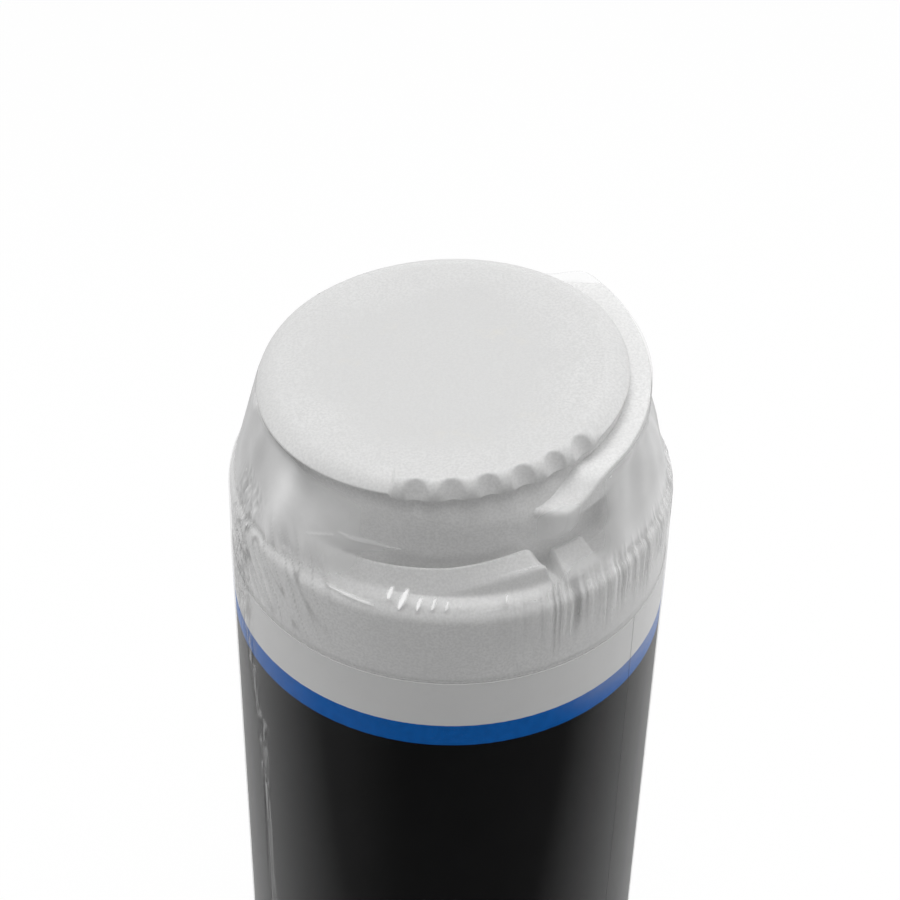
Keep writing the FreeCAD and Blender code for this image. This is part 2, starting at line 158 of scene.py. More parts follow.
class FILTER_PG_stage(bpy.types.PropertyGroup):
    """Camera and light of the studio."""
    lens: FloatProperty(name="Lens", description="Focal length of the camera", default=88.11, unit="CAMERA")
    overhead: power("Overhead", "Power of the overhead soft box", 8.4)
    spark: power("Spark", "Power of the small lamp that lights up folds", 1.0)
    side: power("Sides", "Power of each side panel", 3.0)
    ambient: share("Ambient", "Light level of the surroundings", 0.33)
    floor: colour("Floor", "Colour of the floor", (0.55, 0.55, 0.55))


# Shader expressions
def math_operator(operation, swapped=False):
    """Operator of a Value that adds one Math node, with its terms swapped for a reflected form."""
    def method(self, other):
        first, second = (other, self) if swapped else (self, other)
        return self.paint.node("Math", {0: first, 1: second}, operation=operation)
    return method


class Value:
    """A node's output that takes part in sums: each operator adds one Math node to the tree."""

    def __init__(self, paint, socket):
        self.paint = paint
        self.socket = socket

    __add__ = __radd__ = math_operator("ADD")
    __sub__ = math_operator("SUBTRACT")
    __rsub__ = math_operator("SUBTRACT", True)
    __mul__ = __rmul__ = math_operator("MULTIPLY")
    __pow__ = math_operator("POWER")
    __gt__ = math_operator("GREATER_THAN")
    __lt__ = math_operator("LESS_THAN")

    def step(self, low, high):
        """Smooth rise from 0 at low to 1 at high."""
        sockets = {"Value": self, "From Min": low, "From Max": high}
        return self.paint.node("MapRange", sockets, interpolation_type="SMOOTHSTEP")


class Paint:
    """A material or world and the nodes that are added to it."""

    def __init__(self, owner):
        owner.use_nodes = True
        self.owner = owner
        self.tree = owner.node_tree
        self.tree.nodes.clear()

    def node(self, kind, sockets=None, output=0, **settings):
        """Any node: its settings, then the values or links of its sockets. Gives one output."""
        made = self.tree.nodes.new("ShaderNode" + kind)
        for key, value in settings.items():
            setattr(made, key, value)
        for key, value in (sockets or {}).items():
            if isinstance(value, Value):
                self.tree.links.new(value.socket, made.inputs[key])
            else:
                made.inputs[key].default_value = value
        return Value(self, made.outputs[output]) if made.outputs else None

    def place(self):
        """Object coordinates in metres."""
        return self.node("TexCoord", output="Object")

    def parts(self, vector):
        """X, Y and Z of a vector."""
        made = self.node("SeparateXYZ", {0: vector}).socket.node
        return [Value(self, out) for out in made.outputs]

    def noise(self, scale, detail=3.0, roughness=0.55, vector=None):
        return self.node("TexNoise", {"Vector": vector or self.place(), "Scale": scale, "Detail": detail,
                                      "Roughness": roughness})

    def mix(self, factor, first, second):
        """Colour between two colours."""
        return self.node("Mix", {0: factor, 6: first, 7: second}, 2, data_type="RGBA")

    def bump(self, height, strength, distance):
        return self.node("Bump", {"Height": height, "Strength": strength, "Distance": distance})

    def attribute(self, name):
        """A number stored on the piece's points."""
        return self.node("Attribute", output="Fac", attribute_name=name)

    def principled(self, sockets):
        return self.output(self.node("BsdfPrincipled", sockets))

    def output(self, shader, kind="OutputMaterial"):
        """Ends the tree with a shader, and gives what it belongs to."""
        self.node(kind, {"Surface": shader})
        return self.owner


def new_paint(name):
    return Paint(bpy.data.materials.new(name))


def scaled(tone, factor):
    """Colour made darker or lighter by a factor."""
    return (tone[0] * factor, tone[1] * factor, tone[2] * factor, 1.0)


PLASTIC = {"IOR": 1.46, "Specular IOR Level": 0.4}
SPECK = (0.05, 0.048, 0.045, 1.0)
CAP_SPECK = (0.07, 0.066, 0.06, 1.0)
END_CAP_TONE = (0.66, 0.66, 0.65)
STAIN = (0.80, 0.73, 0.55, 1.0)
PALE_FILM = (0.93, 0.93, 0.93, 1.0)
SHADED_FILM = (0.28, 0.28, 0.28, 1.0)
SLANTED_FILM = (0.45, 0.45, 0.45, 1.0)
CLEAR_FROM = 0.46
PRINT_EDGE = 0.08 * MM


def mottled(paint, noise, tone, dark, light):
    """Tone that wavers between a darker and a lighter one."""
    return paint.mix(noise.step(0.3, 0.7), scaled(tone, dark), scaled(tone, light))


def specks(paint, scale, amount, width):
    """Small dots: points of a cell pattern, kept only in the cells whose random tone is low."""
    cells = {"Vector": paint.place(), "Scale": scale}
    near = paint.node("TexVoronoi", cells, "Distance")
    tone = paint.parts(paint.node("TexVoronoi", cells, "Color"))[0]
    return (1 - near.step(width * 0.5, width)) * (tone < amount)


def moulded_plastic(name, tone, roughness, grain, speck_share):
    """Moulded plastic: cloudy tone, fine mould grain in the bump, and a few dark specks."""
    paint = new_paint(name)
    cloud = paint.noise(45.0, 4.0, 0.6)
    fine = paint.noise(2200.0, 2.0, 0.6)
    wave = paint.noise(160.0, 2.0, 0.5)
    base = mottled(paint, cloud, tone, 0.955, 1.03)
    base = paint.mix(fine.step(0.3, 0.7), base, scaled(tone, 0.87))
    base = paint.mix(specks(paint, 170.0, speck_share, 0.085) * 0.85, base, SPECK)
    rough = roughness + (cloud - 0.5) * 0.14 + (fine - 0.5) * 0.08
    normal = paint.bump(fine * grain + wave * 0.35, 0.35, 0.00012)
    return paint.principled({"Base Color": base, "Roughness": rough, "Normal": normal, **PLASTIC})


def cap_plastic(name, tone, dish_radius, dish_run):
    """Cap plastic: as moulded plastic, with a matt grained middle that is a little greyer than its ring."""
    paint = new_paint(name)
    x, y = paint.parts(paint.place())[:2]
    across = (x + CAP_SHIFT * MM) * (x + CAP_SHIFT * MM) + y * y
    cloud = paint.noise(38.0, 5.0, 0.62)
    fine = paint.noise(2200.0, 2.0, 0.6)
    distance = across ** 0.5 + (cloud - 0.5) * 0.012
    middle = 1 - distance.step(dish_radius - dish_run, dish_radius + 0.0015)
    base = mottled(paint, cloud, tone, 0.97, 1.03)
    base = paint.mix(middle * 0.85, base, scaled(tone, 0.905))
    base = paint.mix(fine.step(0.3, 0.7), base, scaled(tone, 0.88))
    stain = paint.noise(95.0, 3.0, 0.7).step(0.60, 0.74) * middle
    base = paint.mix(stain * 0.10, base, STAIN)
    base = paint.mix(specks(paint, 120.0, 0.22, 0.055) * 0.8, base, CAP_SPECK)
    rough = 0.40 + middle * 0.16 + (fine - 0.5) * 0.1
    normal = paint.bump(fine * (0.25 + middle * 0.5) + cloud * 0.5, 0.4, 0.0001)
    return paint.principled({"Base Color": base, "Roughness": rough, "Normal": normal, **PLASTIC})


def printed_label(name, group):
    """Printed paper: a bare band on top, one stripe and a dark ground, each with print grain and rubbing."""
    paint = new_paint(name)
    z = paint.parts(paint.place())[2]
    fibre = paint.noise(620.0, 3.0, 0.6)
    cloud = paint.noise(30.0, 4.0, 0.6)
    edge = z + (fibre - 0.5) * 0.00012
    above = edge.step(group.stripe_high - PRINT_EDGE, group.stripe_high + PRINT_EDGE)
    below = 1 - edge.step(group.stripe_low - PRINT_EDGE, group.stripe_low + PRINT_EDGE)
    ground = paint.mix(cloud.step(0.3, 0.75), scaled(group.ground, 0.8), scaled(group.ground, 1.7))
    ground = paint.mix(fibre.step(0.62, 0.8) * 0.5, ground, scaled(group.ground, 3.2))
    stripe = mottled(paint, fibre, group.stripe, 0.93, 1.07)
    paper = mottled(paint, cloud, group.paper, 0.965, 1.02)
    paper = paint.mix(fibre.step(0.5, 0.8) * 0.3, paper, scaled(group.paper, 0.93))
    # Painted shadow: the paper darkens in a thin band just under the label's top edge
    painted_edge_shadow = z.step(LABEL_TOP * MM - 0.0005, LABEL_TOP * MM)
    paper = paint.mix(painted_edge_shadow * 0.12, paper, scaled(group.paper, 0.7))
    base = paint.mix(above, paint.mix(below, stripe, ground), paper)
    rough = 0.44 + (cloud - 0.5) * 0.18 + (fibre - 0.5) * 0.08
    normal = paint.bump(fibre + cloud * 2.0, 0.25, 0.00008)
    return paint.principled({"Base Color": base, "Roughness": rough, "Normal": normal, "IOR": 1.07})


def pressed_carbon(name):
    """Pressed carbon: near-black grains with a dull sparkle."""
    paint = new_paint(name)
    grain = paint.node("TexVoronoi", {"Vector": paint.place(), "Scale": 1400.0}, "Distance")
    cloud = paint.noise(220.0, 4.0)
    base = paint.mix(grain.step(0.2, 0.7), (0.006, 0.006, 0.006, 1.0), (0.035, 0.034, 0.033, 1.0))
    normal = paint.bump(grain + cloud * 0.5, 0.8, 0.0003)
    return paint.principled({"Base Color": base, "Roughness": 0.6 + cloud * 0.3, "Normal": normal})


def fibre_felt(name):
    """Non-woven sleeve: crossing fibres from stretched noise."""
    paint = new_paint(name)
    along = paint.node("Mapping", {"Vector": paint.place(), "Scale": (900.0, 900.0, 5200.0)})
    over = paint.node("Mapping", {"Vector": paint.place(), "Scale": (4200.0, 4200.0, 700.0)})
    threads = paint.noise(1.0, 2.0, 0.5, along) + paint.noise(1.0, 2.0, 0.5, over)
    base = paint.mix(threads.step(0.7, 1.3), (0.62, 0.61, 0.58, 1.0), (0.82, 0.81, 0.79, 1.0))
    normal = paint.bump(threads, 0.7, 0.0002)
    return paint.principled({"Base Color": base, "Roughness": 0.8 + threads * 0.08, "Normal": normal})


def seal_rubber(name):
    """Black sealing rubber with a bloomed, faintly mottled skin."""
    paint = new_paint(name)
    cloud = paint.noise(420.0, 4.0, 0.6)
    base = paint.mix(cloud.step(0.3, 0.7), (0.012, 0.012, 0.012, 1.0), (0.035, 0.035, 0.034, 1.0))
    normal = paint.bump(cloud, 0.3, 0.0001)
    return paint.principled({"Base Color": base, "Roughness": 0.45 + cloud * 0.25, "Normal": normal})


def clear_film(name, group):
    """Clear film: see-through, with a pale skin where it is seen aslant, hazy or creased, and where it holds
    painted sheen and highlights. Painted glints, kept as "spark", are made as bright as metal; painted shade
    in folds and slack places, kept as "shade", greys the skin."""
    paint = new_paint(name)
    haze_and_sheen = paint.attribute("haze_and_sheen")
    spark = paint.attribute("spark")
    shade = paint.attribute("shade")
    fine = paint.noise(1100.0, 3.0, 0.6)
    broad = paint.noise(80.0, 4.0, 0.6)
    aslant = paint.node("LayerWeight", {"Blend": 0.5}, output="Facing")
    factor = (aslant - CLEAR_FROM) * 0.56 * (aslant > CLEAR_FROM) + haze_and_sheen * (0.88 + broad * 0.24) + spark
    rough = group.roughness + (broad - 0.5) * 0.10 + haze_and_sheen * 0.3 - spark * 0.08
    normal = paint.bump(fine * 0.6 + broad * 3.0, 0.3, 0.00015)
    # Painted shade greys the skin where "shade" is stored, but not on the painted glints
    tone = paint.mix(shade * (1 - spark), PALE_FILM, SHADED_FILM)
    # Painted shade: the skin turns grey where the film is seen edge-on
    tone = paint.mix(aslant.step(0.80, 1.0), tone, SLANTED_FILM)
    skin = paint.node("BsdfPrincipled", {"Base Color": tone, "Metallic": spark, "Roughness": rough,
                                         "Normal": normal})
    clear = paint.node("BsdfTransparent", {"Color": (0.99, 0.99, 0.99, 1.0)})
    return paint.output(paint.node("MixShader", {0: factor, 1: clear, 2: skin}))


# Surfaces
def smooth(x, low, high):
    """Smooth rise: t*t*(3-2t) with t the share of the way from low to high."""
    t = np.clip((x - low) / (high - low), 0.0, 1.0)
    return t * t * (3.0 - 2.0 * t)


def window(x, span):
    """Rises from 0 to 1 between the first two of four limits and falls back between the last two."""
    return smooth(x, span[0], span[1]) * (1 - smooth(x, span[2], span[3]))


def gauss(x, middle, width):
    """Bell curve exp(-((x-middle)/width)^2)."""
    return np.exp(-((x - middle) / width) ** 2)


def wrapped(angle):
    """Angle in degrees brought to between -180 and 180."""
    return (angle + 180.0) % 360.0 - 180.0


def spaced(count, dense_from, dense_to, gain):
    """Azimuths in degrees round a turn, gain times closer together between two of them.
    The density 1 + (gain-1)*window is summed up and read backwards at equal steps."""
    fine = np.linspace(-180.0, 180.0, 7201)
    fade = 8.0
    density = 1.0 + (gain - 1.0) * window(fine, (dense_from - fade, dense_from, dense_to, dense_to + fade))
    total = np.concatenate([[0.0], np.cumsum((density[1:] + density[:-1]) / 2)])
    return np.interp(np.arange(count) / count, total / total[-1], fine)


def put_mesh(name, points, quads, triangles=()):
    """Smooth mesh from an array of points in millimetres and arrays of corner numbers."""
    mesh = bpy.data.meshes.new(name)
    mesh.from_pydata(points * MM, [], [*quads.tolist(), *np.asarray(triangles, int).tolist()])
    mesh.shade_smooth()
    mesh.validate()
    made = bpy.data.objects.new(name, mesh)
    bpy.context.scene.collection.objects.link(made)
    return made


def ring_quads(rows, columns, close_rows=False):
    """Corner numbers of a grid whose columns run round a turn: (i,j), (i,j+1), (i+1,j+1), (i+1,j)."""
    i, j = np.meshgrid(np.arange(rows if close_rows else rows - 1), np.arange(columns), indexing="ij")
    up, over = (i + 1) % rows, (j + 1) % columns
    corners = [i * columns + j, i * columns + over, up * columns + over, up * columns + j]
    return np.stack(corners, -1).reshape(-1, 4)


def bag(name, rings):
    """Closed surface from an array of rings (row, column, xyz), with a point in each end's middle."""
    rows, columns = rings.shape[:2]
    points = np.concatenate([rings.reshape(-1, 3), rings[:1].mean(1), rings[-1:].mean(1)])
    j = np.arange(columns)
    over = (j + 1) % columns
    low, high = rows * columns, rows * columns + 1
    last = (rows - 1) * columns
    fans = np.concatenate([np.stack([np.full(columns, low), over, j], -1),
                           np.stack([np.full(columns, high), last + j, last + over], -1)])
    return put_mesh(name, points, ring_quads(rows, columns), fans)


def store(piece, name, values):
    """Keeps one number a point on the piece, for its material."""
    kept = piece.data.attributes.new(name, "FLOAT", "POINT")
    kept.data.foreach_set("value", np.asarray(values, np.float32).ravel())


def steps(count):
    """Equal steps up to 1, without 0."""
    return np.arange(1, count + 1) / count


def joined(parts):
    """Radii and heights of parts of a profile, one after the other."""
    return [np.concatenate([part[k] for part in parts]) for k in (0, 1)]


def line(*points):
    """Polyline through (radius, height, count) stations: each run is cut into count equal steps."""
    r = [np.array([points[0][0]])]
    z = [np.array([points[0][1]])]
    for before, after in zip(points, points[1:]):
        t = steps(after[2])
        r.append(before[0] + (after[0] - before[0]) * t)
        z.append(before[1] + (after[1] - before[1]) * t)
    return np.concatenate(r), np.concatenate(z)


def leant(points):
    """Points of the cap's own level frame, leant about Y, moved along X and lifted to the cap's level:
    x' = x*cos(a) - z*sin(a) - shift, z' = x*sin(a) + z*cos(a) + level."""
    x, y, z = points[..., 0], points[..., 1], points[..., 2]
    c, s = math.cos(CAP_LEAN), math.sin(CAP_LEAN)
    return np.stack([x * c - z * s - CAP_SHIFT, y, x * s + z * c + CAP_LEVEL], -1)


def lean_level(level, x):
    """Height of the leaning plane through level at a place along X."""
    return level + math.tan(CAP_LEAN) * (x + CAP_SHIFT)


def round_point(radius, azimuth, height):
    """Point at a radius, an azimuth in degrees and a height."""
    a = np.radians(azimuth)
    return np.stack(np.broadcast_arrays(radius * np.cos(a), radius * np.sin(a), height), -1)


def half_chord(radius, off):
    """Half the width of a circle at a distance from its middle: sqrt(r^2 - d^2)."""
    return np.sqrt(np.maximum(radius ** 2 - off ** 2, 0.0))


def reach(centre, radius, azimuth):
    """Distance from the axis to a circle's far side in each direction."""
    a = np.radians(azimuth)
    along = centre[0] * np.cos(a) + centre[1] * np.sin(a)
    across = centre[1] * np.cos(a) - centre[0] * np.sin(a)
    return along + half_chord(radius, across)


def runs(rows, start, end):
    """Rows of straight lines between two curves of radius and height round the turn, without their first."""
    t = steps(rows)[:, None]
    return [start[k][None] * (1 - t) + end[k][None] * t for k in (0, 1)]


def eased(rows, passes):
    """Rows averaged along a profile, a quarter from each neighbour, with the first and last row kept."""
    rows = rows.copy()
    for k in range(passes):
        rows[1:-1] = 0.25 * rows[:-2] + 0.5 * rows[1:-1] + 0.25 * rows[2:]
    return rows


def between(first, last, shares):
    """Values at shares of the way from the first to the last."""
    return first + (last - first) * shares


def softer(first, second, soft):
    """Soft minimum of two lengths: -s*log(exp(-a/s) + exp(-b/s))."""
    return -soft * np.logaddexp(-first / soft, -second / soft)


def dress(piece, material):
    piece.data.materials.clear()
    piece.data.materials.append(material)


# Cap
FLUTE_FIRST = -97.0
FLUTE_PITCH = 10.8
FLUTE_REACH = 0.3
FLUTE_BLEND = 0.2
GRIP_LEAD = (8.4, 6.4)
GRIP_TRAIL = (5.0, 9.0)
CREST_ANGLE = math.radians(72.0)
LIP_RISE_SINE = 0.7
PLUG_PLAY = 0.6
PLUG_WALL = 1.4
PLUG_DEPTH = 2.0
RIM_CORNER = 0.25
LIP_CORNER = 0.12
FOOT_CORNER = 0.1
LEAST_LIP = (0.12, 0.14, 0.2)
CAP_POLE = 0.4
CAP_COLUMNS = 760
EDGE_ROWS = 30
TOP_ROWS = 46
TOP_SPREAD = 1.25


def cap_edge(group, azimuth):
    """The cap's edge at each azimuth, full along the grip and thin elsewhere: share of the grip, run, height
    of the foot, and first and last angle of the curve."""
    last = FLUTE_FIRST + FLUTE_PITCH * (group.flute_count - 1)
    grip = window(azimuth, (FLUTE_FIRST - GRIP_LEAD[0], FLUTE_FIRST - GRIP_LEAD[1],
                            last + GRIP_TRAIL[0], last + GRIP_TRAIL[1]))
    run = (group.edge_run + (group.grip_run - group.edge_run) * grip) / MM
    lip = group.lip_height + group.lip_rise * smooth(np.sin(np.radians(azimuth)), 0.0, LIP_RISE_SINE)
    foot = (lip + (group.grip_foot - lip) * grip) / MM
    start = group.edge_bow * math.pi / 2 * (1 - grip)
    end = math.pi / 2 + (CREST_ANGLE - math.pi / 2) * grip
    return grip, run, foot, start, end


def edge_point(group, edge, share):
    """Radius and height at a share of the way up the curved edge. With t the angle there, between the first
    angle s and the last angle m, the radius is R - run*(cos s - cos t)/(cos s - cos m) and the height is
    foot + (H-foot)*(sin t - sin s)/(sin m - sin s)."""
    run, foot, start, end = edge[1:]
    t = start + (end - start) * share
    radius = CAP_RADIUS - run * (np.cos(start) - np.cos(t)) / (np.cos(start) - np.cos(end))
    rise = group.height / MM - foot
    return radius, foot + rise * (np.sin(t) - np.sin(start)) / (np.sin(end) - np.sin(start))


def flute_cut(group, azimuth, level):
    """Radius that the flutes leave at each azimuth and height. A flute is a round of radius p whose axis
    leans inwards: at an angle d from its middle it leaves c*cos(d) - sqrt(p^2 - c^2*sin(d)^2), c being the
    distance of its axis from the cap's at that height."""
    flute = group.flute_radius / MM
    axis = CAP_RADIUS + group.flute_stand_off / MM - math.tan(group.flute_tilt) * level
    cut = np.full(level.shape, 2 * CAP_RADIUS)
    for k in range(group.flute_count):
        off = np.radians(wrapped(azimuth - FLUTE_FIRST - FLUTE_PITCH * k))[None]
        side = axis * np.sin(off)
        hollow = axis * np.cos(off) - half_chord(flute, side)
        cut = np.where((np.abs(side) < flute) & (np.abs(off) < FLUTE_REACH), np.minimum(cut, hollow), cut)
    return cut


def cap_surface(group):
    """Cap: a closed profile turned once, with a thin lip away from the grip and a full side along it. The
    flutes' cut and the edge are blended by a soft minimum."""
    height, wall = group.height / MM, group.wall / MM
    depth, dish, slope = group.dish_depth / MM, group.dish_radius / MM, group.dish_run / MM
    under = height - depth - wall
    rim = CAP_RADIUS - group.rim_wall / MM
    plug = BORE_RADIUS - CAP_SHIFT - PLUG_PLAY
    plug_bore = plug - PLUG_WALL
    azimuth = spaced(CAP_COLUMNS, -112.0, -34.0, 6.0)
    edge = cap_edge(group, azimuth)
    grip, run, foot = edge[:3]
    flat = np.zeros(CAP_COLUMNS)
    lip = np.maximum(foot - group.lip / MM, 0.0)
    lower = CAP_RADIUS - group.lip_overhang / MM * (1 - grip)
    low = line((CAP_POLE, under, 1), (plug_bore, under, 8), (plug_bore, -PLUG_DEPTH, 3),
               (plug, -PLUG_DEPTH, 2), (plug, under, 3), (rim, under, 3), (rim, RIM_CORNER, 3),
               (rim + RIM_CORNER, 0, 2))
    stations = [(flat + rim + RIM_CORNER, flat),
                (lower - LIP_CORNER, flat),
                (lower, flat + FOOT_CORNER),
                (lower, np.maximum(lip - FOOT_CORNER, LEAST_LIP[0])),
                (CAP_RADIUS - LIP_CORNER * (1 - grip), np.maximum(lip, LEAST_LIP[1])),
                (CAP_RADIUS + flat, np.maximum(lip + LIP_CORNER, LEAST_LIP[2])),
                (CAP_RADIUS + flat, foot)]
    sides = [runs(count, p, q) for count, p, q in zip((4, 1, 2, 3, 1, 2), stations, stations[1:])]
    curve = edge_point(group, edge, steps(EDGE_ROWS)[:, None])
    s = steps(TOP_ROWS)[:, None] ** TOP_SPREAD
    top_r = (CAP_RADIUS - run)[None] * (1 - s) + CAP_POLE * s
    top_z = height - depth * (1 - smooth(top_r, dish - slope, dish))
    rows = [[np.repeat(k[:, None], CAP_COLUMNS, 1) for k in low], *sides, curve, (top_r, top_z)]
    radius, level = joined(rows)
    fluted = softer(radius, flute_cut(group, azimuth, level), FLUTE_BLEND)
    radius = np.where(radius > rim + FLUTE_REACH, fluted, radius)
    return leant(round_point(radius, azimuth[None, :], level))


class FILTER_OT_cap(bpy.types.Operator):
    """Makes the neck's cover cap, lying askew on the neck"""
    bl_idname = "filter.cap"
    bl_label = "Cover Cap"

    def execute(self, context):
        group = context.scene.filter_cap
        piece = bag("cover_cap", cap_surface(group))
        material = cap_plastic("cap_plastic", group.colour, group.dish_radius, group.dish_run)
        dress(piece, material)
        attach(piece, BODY)
        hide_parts("neck_cap")
        return {"FINISHED"}


# Head
RAMP_AZIMUTHS = (-147.0, -112.0, -90.0, -76.0, -62.0)
RAMP = {"crest_off": (1.6, 1.6, 1.3, 0.9, 0.4), "groove": (0.9, 2.2, 2.0, 1.2, 0.3),
        "crest": (1.8, 3.6, 4.4, 5.4, 6.0), "outer": (0.2, 0.3, 0.9, 2.7, 3.6)}
RAMP_RADIUS = BODY_RADIUS - 3.3
RAMP_SPAN = (-153.0, -144.0, -63.2, -61.2)
RAMP_CREST_END = (-69.0, -62.0)
PLAIN_CREST_OFF = 1.6
STOP = {"outer": 1.0, "crest": 3.6, "floor": 3.2, "crest_off": 0.6}
STOP_RADIUS = BODY_RADIUS - 1.5
STOP_FROM = -60.5
STOP_SPAN = (-59.2, -57.9, -47.4, -45.8)
STOP_FACE_SPAN = (-60.8, -59.2, -46.0, -43.0)
STOP_CREST_SPAN = (-75.0, -70.0, -45.0, -38.0)
SPIGOT_WIDE, SPIGOT_STEP = 13.5, SHOULDER + 7.5
SPIGOT_SLIM, SPIGOT_TOP = 6.5, SHOULDER + 12.0
OUTLET_RADIUS, OUTLET_MOUTH = 3.0, 3.3
SOCKET_RADIUS = 5.9
TUBE_RADIUS, TUBE_LENGTH = 7.6, 13.0
LIP_GAP, LIP_WALL, LIP_DEPTH = 0.05, 1.7, 6.0
LIP_SLOPE = (2.0, 4.0)
WELD_CORNER = 0.06
LEDGE_CORNER = 0.45
ROUND_ROWS, FACE_ROWS, SHELF_ROWS, GROOVE_ROWS, RIM_ROWS = 13, 8, 18, 7, 7
NECK_ROWS, NECK_SPREAD, NECK_BLEND = 26, 1.4, 0.15
LEAST_RIM, RIM_DROP = 0.05, 0.3
HEAD_COLUMNS = 660
EASED_ROWS = slice(8, -11)


def rails(azimuth):
    """Ramp and stop at each azimuth, in front and again behind: outer radius and height, crest radius and
    height, and height of the groove's floor. The ramp is read off straight lines through its stations; both
    fade at their ends."""
    outer_r = np.full(azimuth.shape, RAMP_RADIUS)
    crest_r = np.full(azimuth.shape, NECK_RADIUS + PLAIN_CREST_OFF)
    outer, crest, floor = np.zeros((3, len(azimuth)))
    for turn in (0.0, 180.0):
        a = wrapped(azimuth - turn)
        ramp, stop = window(a, RAMP_SPAN), window(a, STOP_SPAN)
        ramp_crest = smooth(a, *RAMP_SPAN[:2]) * np.sqrt(1 - smooth(a, *RAMP_CREST_END) ** 2)
        read = {key: np.interp(a, RAMP_AZIMUTHS, RAMP[key]) for key in RAMP}
        crest_off = np.where(a > STOP_FROM, STOP["crest_off"], read["crest_off"])
        crest_r += np.maximum(ramp, window(a, STOP_CREST_SPAN)) * (crest_off - PLAIN_CREST_OFF)
        outer_r += window(a, STOP_FACE_SPAN) * (STOP_RADIUS - RAMP_RADIUS)
        outer += ramp * read["outer"] + stop * STOP["outer"]
        crest += ramp_crest * read["crest"] + stop * STOP["crest"]
        floor += ramp_crest * (read["crest"] - read["groove"]) + stop * STOP["floor"]
    return outer_r, outer, crest_r, crest, floor


def low_profile(bend):
    """From the outlet bore over the socket, the underside and the weld's lip to the top of the skirt."""
    under, inner = SHOULDER - SHOULDER_WALL, BODY_RADIUS - BODY_WALL
    lip, foot = inner - LIP_GAP, WELD_LEVEL - LIP_DEPTH
    return line((OUTLET_RADIUS, SPIGOT_TOP, 1), (OUTLET_RADIUS, under, 4), (SOCKET_RADIUS, under, 1),
                (SOCKET_RADIUS, under - TUBE_LENGTH, 3), (TUBE_RADIUS, under - TUBE_LENGTH, 1),
                (TUBE_RADIUS, under, 3), (BORE_RADIUS, under, 4), (inner, under, 3),
                (inner, WELD_LEVEL + LIP_SLOPE[1], 3), (lip - LIP_WALL, WELD_LEVEL + LIP_SLOPE[0], 2),
                (lip - LIP_WALL, foot, 3), (lip, foot, 1), (lip, WELD_LEVEL, 3),
                (BODY_RADIUS - WELD_CORNER, WELD_LEVEL, 2), (BODY_RADIUS, WELD_LEVEL + WELD_CORNER, 2),
                (BODY_RADIUS, SHOULDER - bend, 12))


def ledge_rows(bend, azimuth):
    """Rows over the shoulder: its round, then the outer face, top and groove of ramp and stop."""
    outer_r, outer, crest_r, crest, floor = rails(azimuth)
    end = np.arccos(np.clip((outer_r - BODY_RADIUS + bend) / bend, 0.0, 1.0))
    turn = steps(ROUND_ROWS)[:, None] * end[None]
    arc = [BODY_RADIUS - bend + bend * np.cos(turn), SHOULDER - bend + bend * np.sin(turn)]
    shelf = (outer_r - LEDGE_CORNER, SHOULDER + outer)
    ridge = (crest_r, SHOULDER + crest)
    foot = (np.full(azimuth.shape, NECK_RADIUS), SHOULDER + floor)
    face = runs(FACE_ROWS, (outer_r, arc[1][-1]), shelf)
    return joined([arc, face, runs(SHELF_ROWS, shelf, ridge), runs(GROOVE_ROWS, ridge, foot)])


def neck_rows(group, azimuth, foot):
    """Rows up the neck, which draws in to a cone about the cap's axis, and over its leaning rim."""
    bend = group.rim_round / MM
    rim = lean_level(RIM_LEVEL, NECK_RADIUS * np.cos(np.radians(azimuth)))[None]
    t = steps(NECK_ROWS)[:, None] ** NECK_SPREAD
    z = foot[None] * (1 - t) + (rim - bend) * t
    top, slope = CAP_RADIUS - group.relief_inset / MM, CAP_SHIFT / (group.relief_depth / MM)
    cone = reach((-CAP_SHIFT, 0.0), top + slope * (rim - z), azimuth[None])
    r = softer(np.full(z.shape, NECK_RADIUS), cone, NECK_BLEND)
    r = np.maximum(r, BORE_RADIUS + bend + LEAST_RIM)
    over = steps(RIM_ROWS)[:, None] * math.pi / 2
    return joined([(r, z), (r[-1:] - bend * (1 - np.cos(over)), rim - bend + bend * np.sin(over))])


def head_surface(group):
    """Head: a closed profile turned once. Its radii and heights over the shoulder change round the turn, and
    the corners there are eased by averaging along the profile."""
    bend = group.shoulder_round / MM
    azimuth = spaced(HEAD_COLUMNS, -156.0, -40.0, 3.0)
    ledge = ledge_rows(bend, azimuth)
    upper = joined([ledge, neck_rows(group, azimuth, ledge[1][-1])])
    for grid in upper:
        grid[EASED_ROWS] = eased(grid[EASED_ROWS], 4)
    low_r, low_z = low_profile(bend)
    in_r, in_z = line((BORE_RADIUS, RIM_LEVEL, 1), (BORE_RADIUS, SHOULDER, 4), (SPIGOT_WIDE, SHOULDER, 3),
                      (SPIGOT_WIDE, SPIGOT_STEP, 4), (SPIGOT_SLIM, SPIGOT_STEP, 2),
                      (SPIGOT_SLIM, SPIGOT_TOP, 3), (OUTLET_MOUTH, SPIGOT_TOP, 1))
    in_height = np.repeat(in_z[:, None], HEAD_COLUMNS, 1)
    in_height[0] = lean_level(RIM_LEVEL, BORE_RADIUS * np.cos(np.radians(azimuth))) - RIM_DROP
    return np.concatenate([round_point(low_r[:, None], azimuth[None], low_z[:, None]),
                           round_point(upper[0], azimuth[None], upper[1]),
                           round_point(in_r[:, None], azimuth[None], in_height)])


LUG_FRONT = (35.4, -56.8)
LUG_MIDDLE = (34.3, 0.0)
LUG_BACK = (36.6, 43.9)
LUG_SHARES = np.array([-0.04, 0.035, 0.11, 0.24, 0.53, 0.72, 0.86, 1.03])
LUG_HEIGHTS = np.array([-5.2, -3.6, -0.8, 0.0, 0.6, 1.6, 2.4, 3.0])
LUG_TIP_TURN = math.radians(7.0)
LUG_LEAD = 12.0
LUG_ROWS = 68
LUG_END_INSETS = np.array([1.0, 0.55, 0.15])
LUG_END_PLACES = np.array([0.0, 0.25, 0.65])
LUG_THICKNESS = np.array([1.2, 5.4])
BESIDE_CAP = 0.15
RIM_FADE = (-0.7, -0.1)


